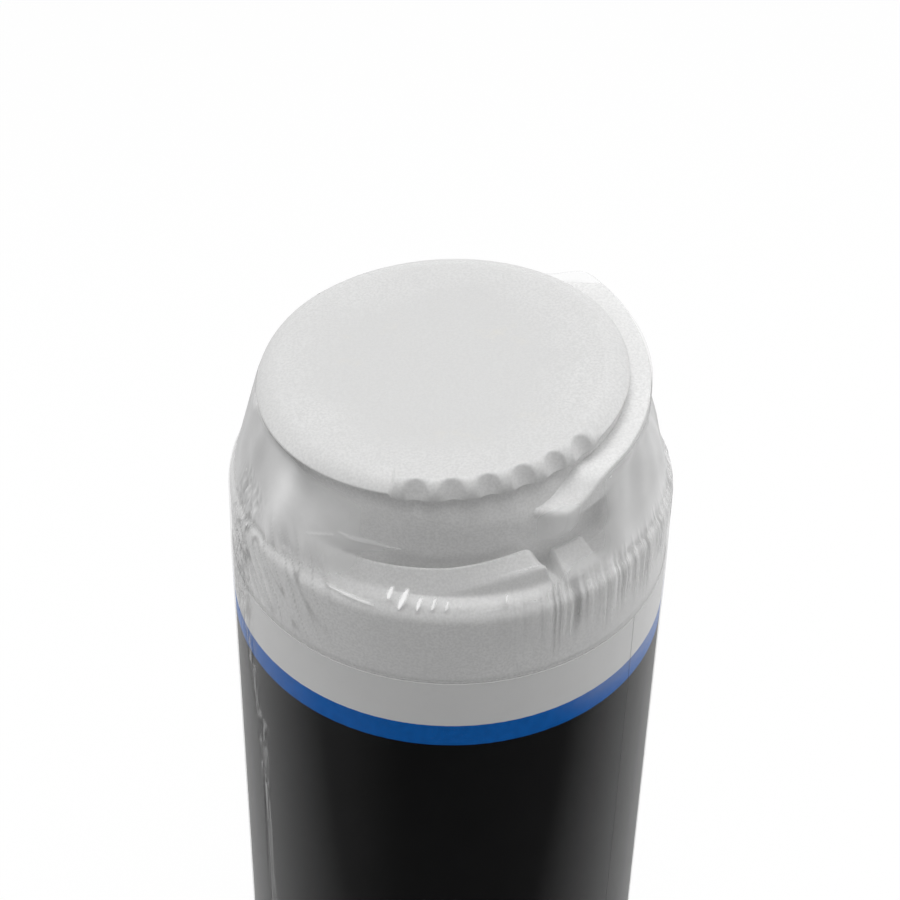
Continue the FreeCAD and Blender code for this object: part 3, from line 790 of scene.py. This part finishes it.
def lug_arc():
    """Centre and radius of the circle through three places on the lug's outer edge, and both ends along Y."""
    p, q, s = [np.array([r * math.cos(math.radians(a)), r * math.sin(math.radians(a))])
               for r, a in (LUG_FRONT, LUG_MIDDLE, LUG_BACK)]
    rows = 2.0 * np.array([q - p, s - p])
    centre = np.linalg.solve(rows, np.array([q @ q - p @ p, s @ s - p @ p]))
    return centre, float(np.linalg.norm(p - centre)), p[1], s[1]


def crest_height(y):
    """Height of the lug's top over the cap's level: a smooth curve through its stations along Y, by cubic
    pieces with the slopes of their neighbours."""
    front, back = lug_arc()[2:]
    x = front + LUG_SHARES * (back - front)
    slope = np.gradient(LUG_HEIGHTS, x)
    y = np.clip(y, x[0], x[-1])
    k = np.clip(np.searchsorted(x, y) - 1, 0, len(x) - 2)
    h = x[k + 1] - x[k]
    t = (y - x[k]) / h
    return ((1 + 2 * t) * (1 - t) ** 2 * LUG_HEIGHTS[k] + t * (1 - t) ** 2 * h * slope[k]
            + t * t * (3 - 2 * t) * LUG_HEIGHTS[k + 1] + t * t * (t - 1) * h * slope[k + 1])


def lug_surface(edge, root, half_only):
    """Lug: a rounded four-sided section in planes across Y, carried from front to back. It runs from inside
    the neck to the outer arc and from the lug's underside to its crest. Its corners are rounded by edge, both
    ends draw in by the same rounding, and towards the front the planes turn with the tip."""
    centre, radius, front, back = lug_arc()
    length = (0.0 if half_only else back) - front
    inset = edge * np.concatenate([LUG_END_INSETS, np.zeros(LUG_ROWS), LUG_END_INSETS[::-1]])
    place = np.concatenate([edge * LUG_END_PLACES, np.linspace(edge, length - edge, LUG_ROWS),
                            length - edge * LUG_END_PLACES[::-1]])
    y = front + place
    outer = centre[0] + half_chord(radius, y - centre[1])
    top = CAP_LEVEL + crest_height(y)
    inner = half_chord(NECK_RADIUS - root, y)
    beside_cap = half_chord(CAP_RADIUS + BESIDE_CAP, y) - CAP_SHIFT
    past_rim = smooth(top - lean_level(RIM_LEVEL, beside_cap), *RIM_FADE)
    inner = inner + past_rim * np.maximum(beside_cap - inner, 0.0)
    ends = front + LUG_SHARES[[0, -1]] * (back - front)
    low = CAP_LEVEL + LUG_HEIGHTS[[0, -1]] - LUG_THICKNESS
    bottom = between(low[0], low[1], (y - ends[0]) / (ends[1] - ends[0]))
    if half_only:
        top = np.minimum(top, lean_level(RIM_LEVEL, -outer))
    bottom = np.minimum(bottom, top - LUG_THICKNESS[0])
    x_in, x_out = (inner + inset)[:, None], (outer - inset)[:, None]
    z_low, z_high = (bottom + inset)[:, None], (top - inset)[:, None]
    quarter = np.linspace(0.0, math.pi / 2, 5)[None]
    by_sine, by_cosine = edge * (1 - np.sin(quarter)), edge * (1 - np.cos(quarter))
    low_x, low_z = x_out - by_sine, z_low + by_cosine
    high_x, high_z = x_out - by_cosine, z_high - by_sine
    across, under, rise = [np.linspace(0.0, 1.0, count)[None] for count in (9, 7, 6)]
    flat_x = between(high_x[:, -1:], x_in, across[:, 1:])
    under_x = between(x_in, low_x[:, :1], under[:, :-1])
    wall_x = between(low_x[:, -1:], high_x[:, :1], rise[:, 1:-1])
    wall_z = between(low_z[:, -1:], high_z[:, :1], rise[:, 1:-1])
    under_z, flat_z = np.broadcast_to(z_low, under_x.shape), np.broadcast_to(z_high, flat_x.shape)
    section_x = np.concatenate([under_x, low_x, wall_x, high_x, flat_x], 1)
    section_z = np.concatenate([under_z, low_z, wall_z, high_z, flat_z], 1)
    lead = (1 - smooth(place, 0.0, LUG_LEAD))[:, None] * math.tan(LUG_TIP_TURN)
    section_y = y[:, None] + lead * np.maximum(outer[:, None] - section_x, 0.0)
    rings = np.stack([section_x, section_y, section_z], -1)
    if half_only:
        rings[..., :2] *= -1.0
    return rings


class FILTER_OT_head(bpy.types.Operator):
    """Makes the head cover with its neck, shoulder ramps, stops and locking lugs"""
    bl_idname = "filter.head"
    bl_label = "Head Cover"

    def execute(self, context):
        group = context.scene.filter_head
        material = moulded_plastic("head_plastic", group.colour, roughness=0.42, grain=0.4, speck_share=0.05)
        rings = head_surface(group)
        shell = put_mesh("head_shell", rings.reshape(-1, 3), ring_quads(rings.shape[0], rings.shape[1], True))
        edge = group.lug_round / MM
        root = group.lug_root / MM
        near = bag("locking_lug", lug_surface(edge, root, False)[::-1])
        far = bag("locking_lug_far", lug_surface(edge, root, True)[::-1])
        for piece in (shell, near, far):
            dress(piece, material)
            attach(piece, BODY)
        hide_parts("head_cover")
        return {"FINISHED"}


# Body, label and what is inside
class FILTER_OT_body(bpy.types.Operator):
    """Gives the lower housing its moulded plastic"""
    bl_idname = "filter.body"
    bl_label = "Lower Housing"

    def execute(self, context):
        group = context.scene.filter_head
        material = moulded_plastic("sump_plastic", group.colour, roughness=0.45, grain=0.5, speck_share=0.04)
        dress(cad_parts["sump_body"], material)
        return {"FINISHED"}


class FILTER_OT_label(bpy.types.Operator):
    """Prints the label's bands"""
    bl_idname = "filter.label"
    bl_label = "Label"

    def execute(self, context):
        material = printed_label("label_print", context.scene.filter_label)
        dress(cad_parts["label_sleeve"], material)
        return {"FINISHED"}


class FILTER_OT_element(bpy.types.Operator):
    """Finishes the filter element and the sealing rings inside"""
    bl_idname = "filter.element"
    bl_label = "Filter Element"

    def execute(self, context):
        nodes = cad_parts
        rubber = seal_rubber("seal_rubber")
        plate = moulded_plastic("end_cap_plastic", END_CAP_TONE, roughness=0.5, grain=0.6, speck_share=0.03)
        dress(nodes["carbon_block"], pressed_carbon("carbon"))
        dress(nodes["prefilter_sleeve"], fibre_felt("sleeve_felt"))
        for name in ("spigot_ring_wide", "spigot_ring_slim", "end_cap_ring"):
            dress(nodes[name], rubber)
        for name in ("top_end_cap", "bottom_end_cap"):
            dress(nodes[name], plate)
        return {"FINISHED"}


# Film: its gaps to the pieces under it, the rings that it passes, and the rows up to each
GAPS = {"cap": 0.1, "near_lug": 0.18, "far_lug": 0.3, "lug_top": 0.2, "turn": 0.24,
        "bend": 0.2 * math.sqrt(2.0), "edge": 0.08, "crown": 0.14, "top": 0.12}
FILM_WALL = FILM_RADIUS - 0.07
LOW_INSET, TOP_INSET, EDGE_DROP = 0.25, 0.3, 0.1
FOOT_INSET, FOOT_LIFT, FOOT_CHAMFER = 2.93, 0.1, 3.0
BODY_RING, LABEL_RING = 140.0, 186.0
HEM_SHARE, HEM_DROP, LEAST_HEM = 0.65, 4.6, 5.0
LUG_PAST, LUG_FADE = 5.0, 13.0
FILM_POLE = 0.5
FILM_COLUMNS = 600
FILM_ROWS = (("foot", 3), ("chamfer", 3), ("body", 12), ("label", 26), ("low", 40), ("turn", 5), ("bend", 5),
             ("hem", 34), ("collar", 14), ("edge", 5), ("crown", 4), ("top", 4), ("middle", 5))

# Seeded waves: how many, shortest and longest in millimetres, and seed
WAVES = {"wander": (4, 3.0, 14.0, 3), "crumple": (7, 1.4, 3.6, 5), "crease": (4, 4.0, 9.0, 11),
         "slack": (5, 7.0, 18.0, 23), "glint": (7, 1.0, 2.6, 41)}

# Pleats: height, frequency and phase of the ripples in their spacing and length
PLEAT_PITCH = 1.75
PLEAT_WARP = ((0.45, 0.9, 0.7), (0.3, 2.3, 0.0))
PLEAT_LENGTHS = ((2.5, 0.55, 1.0), (1.8, 1.7, 0.0))

# Spans of azimuth, and patches with a span of azimuth and one of height
PLEAT_SPAN = (-80.0, -60.0, 2.0, 22.0)
RIGHT_SPAN = (-47.0, -37.0, 60.0, 110.0)
GROOVE_SPAN = (-126.0, -112.0, -78.0, -67.0)
LEFT_MIDDLE = -165.0
SEAM_AZIMUTH = -157.0
SEAM_HEIGHTS = (2.0, 6.0, SHOULDER + 3.0, SHOULDER + 8.0)
PATCHES = {
    "creases": ((-168.0, -158.0, -132.0, -116.0), (188.0, 193.0, SHOULDER + 1.0, SHOULDER + 7.0)),
    # Painted sheen on the film over the neck's left side
    "sheen": ((-152.0, -140.0, -131.0, -112.0), (SHOULDER, SHOULDER + 7.0, SHOULDER + 11.0, SHOULDER + 17.5)),
    # Painted reflection on the film along its right side
    "right_sheen": ((-66.0, -42.0, 0.0, 25.0), (174.0, 178.0, SHOULDER + 1.0, SHOULDER + 5.0)),
    # Painted light on the film over the stop
    "stop": ((-66.0, -59.0, -45.0, -36.0), (SHOULDER - 3.5, SHOULDER, SHOULDER + 6.5, SHOULDER + 9.5)),
}

# How far each kind of place pushes the film out, and its haze where it stands free, which also sets its
# painted shade there
PUSH = {"pleats": 1.6, "spark": 0.25, "seam": 0.45, "creases": 0.3, "slack": 0.16}
FREE = 0.55

# Painted glints on creases: azimuth and height over the shoulder at both ends, half width in millimetres, and
# brightness
STROKES = ((-104.0, 2.8, -105.1, 0.2, 0.48, 0.95), (-100.1, 2.7, -102.3, -1.2, 0.56, 1.0),
           (-96.6, 1.5, -97.7, -0.9, 0.42, 0.95), (-93.1, 1.5, -93.9, -0.7, 0.34, 0.9),
           (-90.0, 1.1, -90.4, -0.7, 0.31, 0.8), (-87.0, 0.7, -87.2, -0.6, 0.25, 0.45),
           (-75.1, 1.6, -75.4, 0.1, 0.30, 0.8), (-122.8, -0.6, -108.0, -1.3, 0.30, 0.7),
           (-82.5, -1.0, -64.0, -0.4, 0.22, 0.25), (-131.5, 6.0, -121.5, 8.4, 0.22, 0.12),
           (-122.0, 9.0, -102.5, 9.2, 0.24, 0.25), (-66.3, -1.6, -66.9, -8.8, 0.24, 0.2),
           (-58.0, -2.5, -58.5, -10.5, 0.26, 0.25), (-76.5, 5.1, -65.6, 5.4, 0.20, 0.5))
STROKE_REACH = 3.0
FAR_OUT = 9.0

# Painted shade band on the film behind the ramp's crest: azimuths and heights over the shoulder
GROOVE_AZIMUTHS = (-116.4, -107.9, -102.5, -94.7, -87.1, -79.4, -72.8, -68.6)
GROOVE_HEIGHTS = (8.3, 8.5, 7.9, 7.8, 8.0, 8.4, 9.4, 10.0)
GROOVE_WIDTH = 1.1


def lug_share(azimuth, back):
    """One along the lug, falling smoothly to nothing past each end."""
    middle, half = (LUG_FRONT[1] + back) / 2, (back - LUG_FRONT[1]) / 2 + LUG_PAST
    return 1 - smooth(np.abs(wrapped(azimuth - middle)) - half, 0.0, LUG_FADE)


def waves(u, v, name):
    """Sum of sine waves in two directions, with seeded lengths, directions and phases."""
    count, low, high, seed = WAVES[name]
    draw = np.random.default_rng(seed)
    total = np.zeros(np.broadcast(u, v).shape)
    for k in range(count):
        pitch = draw.uniform(low, high)
        turn = draw.uniform(0.0, TURN)
        phase = draw.uniform(0.0, TURN)
        total += np.sin(TURN * (u * math.cos(turn) + v * math.sin(turn)) / pitch + phase)
    return total / math.sqrt(count)


def ripple(x, terms):
    """Sum of h*sin(k*x + p) over terms (h, k, p)."""
    return sum(height * np.sin(x * frequency + phase) for height, frequency, phase in terms)


def patch(a, z, name):
    """One inside a patch of azimuths and heights, fading at its edges."""
    return window(a, PATCHES[name][0]) * window(z, PATCHES[name][1])


def shoulder_ring(azimuth, bend, angle, gap):
    """Ring at an angle up the shoulder's round, a gap outside it."""
    return round_point(BODY_RADIUS - bend + (bend + gap) * math.cos(angle), azimuth,
                       np.full(len(azimuth), SHOULDER - bend + (bend + gap) * math.sin(angle)))


def film_keys(azimuth):
    """Rings that the film passes, from the foot over wall, shoulder, cap and lugs to the cap's middle."""
    centre, arc = lug_arc()[:2]
    over_cap = np.maximum(reach((-CAP_SHIFT, 0.0), CAP_RADIUS, azimuth), NECK_RADIUS) + GAPS["cap"]
    near = lug_share(azimuth, LUG_BACK[1])
    radius = over_cap + near * np.maximum(reach(centre, arc, azimuth) + GAPS["near_lug"] - over_cap, 0.0)
    far = lug_share(wrapped(azimuth + 180.0), 0.0)
    radius = radius + far * np.maximum(reach(-centre, arc, azimuth) + GAPS["far_lug"] - radius, 0.0)
    x, y = radius * np.cos(np.radians(azimuth)), radius * np.sin(np.radians(azimuth))
    level = lean_level(CAP_LEVEL, x)
    crest = CAP_LEVEL + crest_height(y)
    level = level + near * (np.maximum(crest, level) + GAPS["lug_top"] - level)
    flat = np.zeros(len(azimuth))
    group = bpy.context.scene.filter_cap
    top = flat + group.height / MM + GAPS["top"]
    edge = cap_edge(group, azimuth)
    crown = edge_point(group, edge, 0.5)
    bend = bpy.context.scene.filter_head.shoulder_round / MM
    bend_ring = shoulder_ring(azimuth, bend, math.pi / 4, GAPS["bend"])
    collar = np.stack([x, y, level], -1)
    straight = between(bend_ring, collar, HEM_SHARE)
    under_lug = round_point(radius, azimuth, np.maximum(crest - HEM_DROP, SHOULDER + LEAST_HEM))
    return {
        "foot": round_point(FILM_WALL - FOOT_INSET, azimuth, flat + FOOT_LIFT),
        "chamfer": round_point(FILM_WALL, azimuth, flat + FOOT_CHAMFER),
        "body": round_point(FILM_WALL, azimuth, flat + BODY_RING),
        "label": round_point(FILM_WALL, azimuth, flat + LABEL_RING),
        "low": round_point(FILM_WALL - LOW_INSET, azimuth, flat + SHOULDER - bend),
        "turn": shoulder_ring(azimuth, bend, math.pi / 8, GAPS["turn"]),
        "bend": bend_ring,
        "hem": between(straight, under_lug, near[:, None]),
        "collar": collar,
        "edge": leant(round_point(CAP_RADIUS + GAPS["edge"], azimuth, edge[2] - EDGE_DROP)),
        "crown": leant(round_point(crown[0] + GAPS["cap"], azimuth, crown[1] + GAPS["crown"])),
        "top": leant(round_point(CAP_RADIUS - edge[1] - TOP_INSET, azimuth, top)),
        "middle": leant(round_point(FILM_POLE, azimuth, top)),
    }


def film_rings(azimuth):
    """Straight runs between the film's rings, eased at the bends by averaging along the rows."""
    keys = film_keys(azimuth)
    before = round_point(FILM_POLE, azimuth, np.full(len(azimuth), FOOT_LIFT))
    rows = [before[None]]
    for name, count in FILM_ROWS:
        t = steps(count)[:, None, None]
        rows.append(before[None] * (1 - t) + keys[name][None] * t)
        before = keys[name]
    rings = np.concatenate(rows)
    bends = slice(1 + sum(count for name, count in FILM_ROWS[:4]), -6)
    rings[bends] = eased(rings[bends], 3)
    return rings


def stroke(a, z, mark):
    """Lens-shaped painted glint between two places on the film: with t from -1 to 1 along it and d across it,
    the bell exp(-(d/w)^4) of width w = half*sqrt(1-t^2)."""
    first, high, last, low, half, bright = mark
    x, y = np.radians(a - first) * FILM_RADIUS, z - SHOULDER - high
    run, drop = math.radians(last - first) * FILM_RADIUS, low - high
    length = math.hypot(run, drop)
    t = 2.0 * (x * run + y * drop) / length ** 2 - 1.0
    across = (x * drop - y * run) / length
    width = half * half_chord(1.0, t) + 1e-6
    inside = (np.abs(t) < 1.0) * (np.abs(across) < STROKE_REACH)
    return bright * np.exp(-np.minimum(across / width, FAR_OUT) ** 4) * inside


def film_fields(group, a, z):
    """Where the film is free, pleated, seamed and creased. Pleats have sharp crests 1 - |sin(pi*w/pitch)|, w
    being the arc length plus ripples. The seam is a bell exp(-(d/half)^4) that narrows below the weld."""
    arc, over, below = np.radians(a) * FILM_RADIUS, z - SHOULDER, SHOULDER - z
    f = SimpleNamespace(arc=arc, over=over)
    f.calm = 1 - smooth(z, CAP_LEVEL - 3.0, CAP_LEVEL + 1.0)
    f.tent = smooth(over, -1.5, 1.0) * f.calm
    f.crest = 1 - np.abs(np.sin(math.pi * (arc + ripple(arc, PLEAT_WARP)) / PLEAT_PITCH))
    uneven = 0.65 + 0.35 * np.sin(arc * 0.8 + 2.0 * np.sin(arc * 0.31))
    drop = smooth(over, -14.0 - ripple(arc, PLEAT_LENGTHS), -4.5) * (1 - smooth(over, -0.5, 2.5))
    f.pleats = window(a, PLEAT_SPAN) * drop * uneven
    f.narrow = smooth(below, 24.0, 34.0)
    seam = SEAM_AZIMUTH + 5.0 * f.narrow + 5.0 * smooth(below, 32.0, 56.0)
    half = group.seam_width / MM * (1.0 - 0.72 * f.narrow)
    f.off = np.radians(a - seam) * FILM_RADIUS + 0.9 * f.narrow * waves(z * 0.0, z, "wander")
    f.seam = np.exp(-(f.off / half) ** 4) * window(z, SEAM_HEIGHTS)
    f.crumple = np.abs(waves(arc * 1.5, z * 0.5, "crumple"))
    f.side = patch(a, z, "creases")
    f.crease = np.abs(waves(arc + 0.55 * z, z * 0.35, "crease"))
    return f


def film_push(group, a, z, f, spark):
    """Distance by which pleats, creases, seam and slackness push the film, clear of what is under it."""
    push = group.pleat_depth / MM * PUSH["pleats"] * f.pleats * (f.crest - 0.5) + PUSH["spark"] * spark
    push += PUSH["seam"] * f.seam * (f.crumple - 0.7) + PUSH["creases"] * f.side * (f.crease - 0.6)
    push += PUSH["slack"] * f.tent * waves(f.arc, z, "slack") * (1 - smooth(np.abs(a), 160.0, 178.0))
    room = np.select([z < LABEL_TOP, f.over < -6.0, f.over < 1.0], [0.13, 0.3, 0.06], 0.9)
    return np.clip(push, -room, np.where(f.over < -2.0, 0.07, 0.5)) * f.calm * smooth(z, 1.0, 4.0)


def film_looks(group, a, z, f):
    """How hazy the film is, with painted sheen and highlights where it is bunched, gathered or free, and its
    painted shade in its folds.
    """
    turned = wrapped(a - LEFT_MIDDLE)
    aside = np.abs(turned)
    sheen = patch(a, z, "sheen")
    left_free = f.tent * (1 - smooth(aside, 15.0, 37.0))
    right_free = f.tent * window(a, RIGHT_SPAN)
    groove = np.interp(a, GROOVE_AZIMUTHS, GROOVE_HEIGHTS)
    # Share of haze and of painted light, and where the film has it
    haze_and_sheen = group.haze + sum(part * where for part, where in (
        # Haze where the film stands free and over the tent; painted sheen over the neck's left side
        (FREE, left_free), (FREE, right_free), (0.05, f.tent), (0.28, sheen),
        # More painted sheen there, and a painted reflection along the film's right side
        (0.10, sheen * smooth(a, -140.0, -130.0)), (0.12, patch(a, z, "right_sheen")),
        # More haze on the film's left side, over the tent and over the wall
        (0.20, f.tent * (1 - smooth(aside, 49.0, 68.0))),
        (0.012, (1 - smooth(aside, 47.0, 67.0)) * (1 - f.tent) * f.calm),
        # Painted light by the lug's tip and over the stop
        (0.36, f.tent * gauss(a, -60.0, 9.0) * smooth(f.over, 7.5, 10.5)),
        (0.20, patch(a, z, "stop") * (1 - right_free)),
        # Painted highlights on the crests of pleats, seam crumples and creases
        (0.60, f.pleats * smooth(f.crest, 0.35, 0.95)),
        (0.36, f.seam * (1 - 0.85 * f.narrow) * smooth(f.crumple, 0.4, 1.5)),
        (0.16, f.side * smooth(f.crease, 0.4, 1.4))))
    # Share of painted shade in folds, dents, creases, the seam's core and the ramp's groove, and where it
    # lies
    dark = sum(part * where for part, where in (
        (0.50, f.pleats * (1 - smooth(f.crest, 0.0, 0.18))),
        (0.35, f.seam * (1 - smooth(f.crumple, 0.05, 0.35))),
        (0.30, f.side * (1 - smooth(f.crease, 0.04, 0.2))),
        (0.50, gauss(f.off, 0.0, 0.45) * f.narrow * smooth(z, *SEAM_HEIGHTS[:2])),
        (0.24, gauss(f.over, groove, GROOVE_WIDTH) * window(a, GROOVE_SPAN))))
    # Painted shade where the film stands free, varying along the left side and less under the painted sheen
    slack = FREE * left_free * (1 - sheen) * (0.74 - 0.36 * smooth(turned, 7.0, 17.0))
    slack = slack + FREE * right_free * (0.10 + 0.16 * smooth(a, -38.0, -20.0))
    return np.clip(haze_and_sheen + dark, 0.0, 1.0), np.clip((slack + dark) / (haze_and_sheen + dark), 0.0, 1.0)


def film_surface(group):
    """Film: the eased rings, pushed in and out. Gives them, and their haze with painted sheen, their painted
    glints and their painted shade.
    """
    azimuth = spaced(FILM_COLUMNS, -172.0, 2.0, 1.5)
    rings = film_rings(azimuth)
    a = np.repeat(azimuth[None], len(rings), 0)
    z = rings[..., 2]
    f = film_fields(group, a, z)
    # Painted glints along the listed creases
    spark = np.max([stroke(a, z, mark) for mark in STROKES], 0)
    haze_and_sheen, shade = film_looks(group, a, z, f)
    rings = rings + round_point(film_push(group, a, z, f, spark), a, 0.0)
    # Painted glints scattered along the seam's crumples
    glint = smooth(waves(f.arc, z, "glint"), 1.45, 1.85) * f.seam
    spark = np.clip(np.maximum(spark, 0.9 * glint) * f.calm, 0.0, 1.0)
    return rings, haze_and_sheen, spark, shade


class FILTER_OT_film(bpy.types.Operator):
    """Shrinks the clear film over the whole cartridge"""
    bl_idname = "filter.film"
    bl_label = "Shrink Film"

    def execute(self, context):
        group = context.scene.filter_film
        rings, haze_and_sheen, spark, shade = film_surface(group)
        piece = bag("shrink_film", rings)
        for name, values in (("haze_and_sheen", haze_and_sheen), ("spark", spark), ("shade", shade)):
            store(piece, name, np.concatenate([values.ravel(), values[0, :1], values[-1, :1]]))
        dress(piece, clear_film("clear_film", group))
        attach(piece, BODY)
        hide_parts("shrink_wrap")
        return {"FINISHED"}


# Stage
WHITE = (1.0, 1.0, 1.0, 1.0)
FLOOR_HALF = 6.0
FLOOR_WHITE, FLOOR_GLOW = 0.88, 1.06
LAMP_TARGET = Vector((0.0, 0.0, 0.2))
CAMERA_PLACE = Vector((0.0, -0.298064, 0.460716))
CAMERA_AHEAD = Vector((-0.0006, 0.7611, -0.6486)).normalized()
CAMERA_RIGHT = Vector((0.9997, 0.0153, 0.0170))
SENSOR_WIDTH = 36.0
RIGHT_GAIN = 1.3


def seen_directly(paint):
    """One for rays from the camera and for those that a mirror or glass sends on."""
    kinds = [paint.node("LightPath", output=name)
             for name in ("Is Camera Ray", "Is Glossy Ray", "Is Transmission Ray")]
    return paint.node("Clamp", {0: kinds[0] + kinds[1] + kinds[2]})


def area_lamp(name, place, width, power):
    """Square soft box at a place, facing the cartridge."""
    data = bpy.data.lights.new(name, "AREA")
    data.shape = "SQUARE"
    data.size = width
    data.energy = power
    lamp = bpy.data.objects.new(name, data)
    lamp.location = place
    lamp.rotation_euler = (LAMP_TARGET - Vector(place)).to_track_quat("-Z", "Y").to_euler()
    bpy.context.scene.collection.objects.link(lamp)


class FILTER_OT_stage(bpy.types.Operator):
    """Sets the floor, the light and the camera"""
    bl_idname = "filter.stage"
    bl_label = "Studio"

    def execute(self, context):
        scene = context.scene
        group = scene.filter_stage
        scene.view_settings.view_transform = "Standard"
        floor_mesh = bpy.data.meshes.new("floor")
        corners = [(x * FLOOR_HALF, y * FLOOR_HALF, 0) for x, y in ((-1, -1), (1, -1), (1, 1), (-1, 1))]
        floor_mesh.from_pydata(corners, [], [(0, 1, 2, 3)])
        floor = bpy.data.objects.new("floor", floor_mesh)
        scene.collection.objects.link(floor)
        paint = new_paint("studio_floor")
        matt = paint.node("BsdfDiffuse", {"Color": scaled(group.floor, 1.0)})
        glow = paint.node("Emission", {"Color": WHITE, "Strength": FLOOR_GLOW})
        seen = seen_directly(paint) * FLOOR_WHITE
        paint.output(paint.node("MixShader", {0: seen, 1: matt, 2: glow}))
        floor_mesh.materials.append(paint.owner)
        world = bpy.data.worlds.new("studio")
        scene.world = world
        paint = Paint(world)
        level = group.ambient + (1.0 - group.ambient) * seen_directly(paint)
        paint.output(paint.node("Background", {"Color": WHITE, "Strength": level}), "OutputWorld")
        area_lamp("overhead", (0.06, 0.06, 1.25), 1.0, group.overhead)
        area_lamp("spark", (-0.10, -0.02, 1.15), 0.14, group.spark)
        area_lamp("left_panel", (-1.1, 0.15, 0.55), 0.7, group.side)
        area_lamp("right_panel", (1.1, 0.30, 0.55), 0.7, group.side * RIGHT_GAIN)
        data = bpy.data.cameras.new("camera")
        data.lens = group.lens
        data.sensor_width = SENSOR_WIDTH
        camera = bpy.data.objects.new("camera", data)
        right = (CAMERA_RIGHT - CAMERA_AHEAD * CAMERA_RIGHT.dot(CAMERA_AHEAD)).normalized()
        turn = Matrix((right, right.cross(CAMERA_AHEAD), -CAMERA_AHEAD)).transposed().to_4x4()
        camera.matrix_world = Matrix.Translation(CAMERA_PLACE) @ turn
        scene.collection.objects.link(camera)
        scene.camera = camera
        return {"FINISHED"}


# Add-on
class FILTER_PT_sidebar(bpy.types.Panel):
    """Lists the steps that dress the cartridge, and their sizes"""
    bl_idname = "FILTER_PT_sidebar"
    bl_label = "Wrapped Water Filter"
    bl_space_type = "VIEW_3D"
    bl_region_type = "UI"
    bl_category = "Filter"

    def draw(self, context):
        column = self.layout.column(align=True)
        for step in STEPS:
            column.operator(step.bl_idname)
        for name, group in GROUPS.items():
            box = self.layout.box()
            for key in group.__annotations__:
                box.prop(getattr(context.scene, name), key)


GROUPS = {"filter_cap": FILTER_PG_cap, "filter_head": FILTER_PG_head, "filter_label": FILTER_PG_label,
          "filter_film": FILTER_PG_film, "filter_stage": FILTER_PG_stage}
STEPS = (FILTER_OT_body, FILTER_OT_element, FILTER_OT_label, FILTER_OT_head, FILTER_OT_cap, FILTER_OT_film,
         FILTER_OT_stage)


def register():
    for kind in (*GROUPS.values(), *STEPS, FILTER_PT_sidebar):
        bpy.utils.register_class(kind)
    for name, group in GROUPS.items():
        setattr(bpy.types.Scene, name, PointerProperty(type=group))


def unregister():
    for name in GROUPS:
        delattr(bpy.types.Scene, name)
    for kind in reversed((*GROUPS.values(), *STEPS, FILTER_PT_sidebar)):
        bpy.utils.unregister_class(kind)


def main():
    register()
    bpy.ops.filter.body()
    bpy.ops.filter.element()
    bpy.ops.filter.label()
    bpy.ops.filter.head()
    bpy.ops.filter.cap()
    bpy.ops.filter.film()
    bpy.ops.filter.stage()


if __name__ == "__main__":
    main()
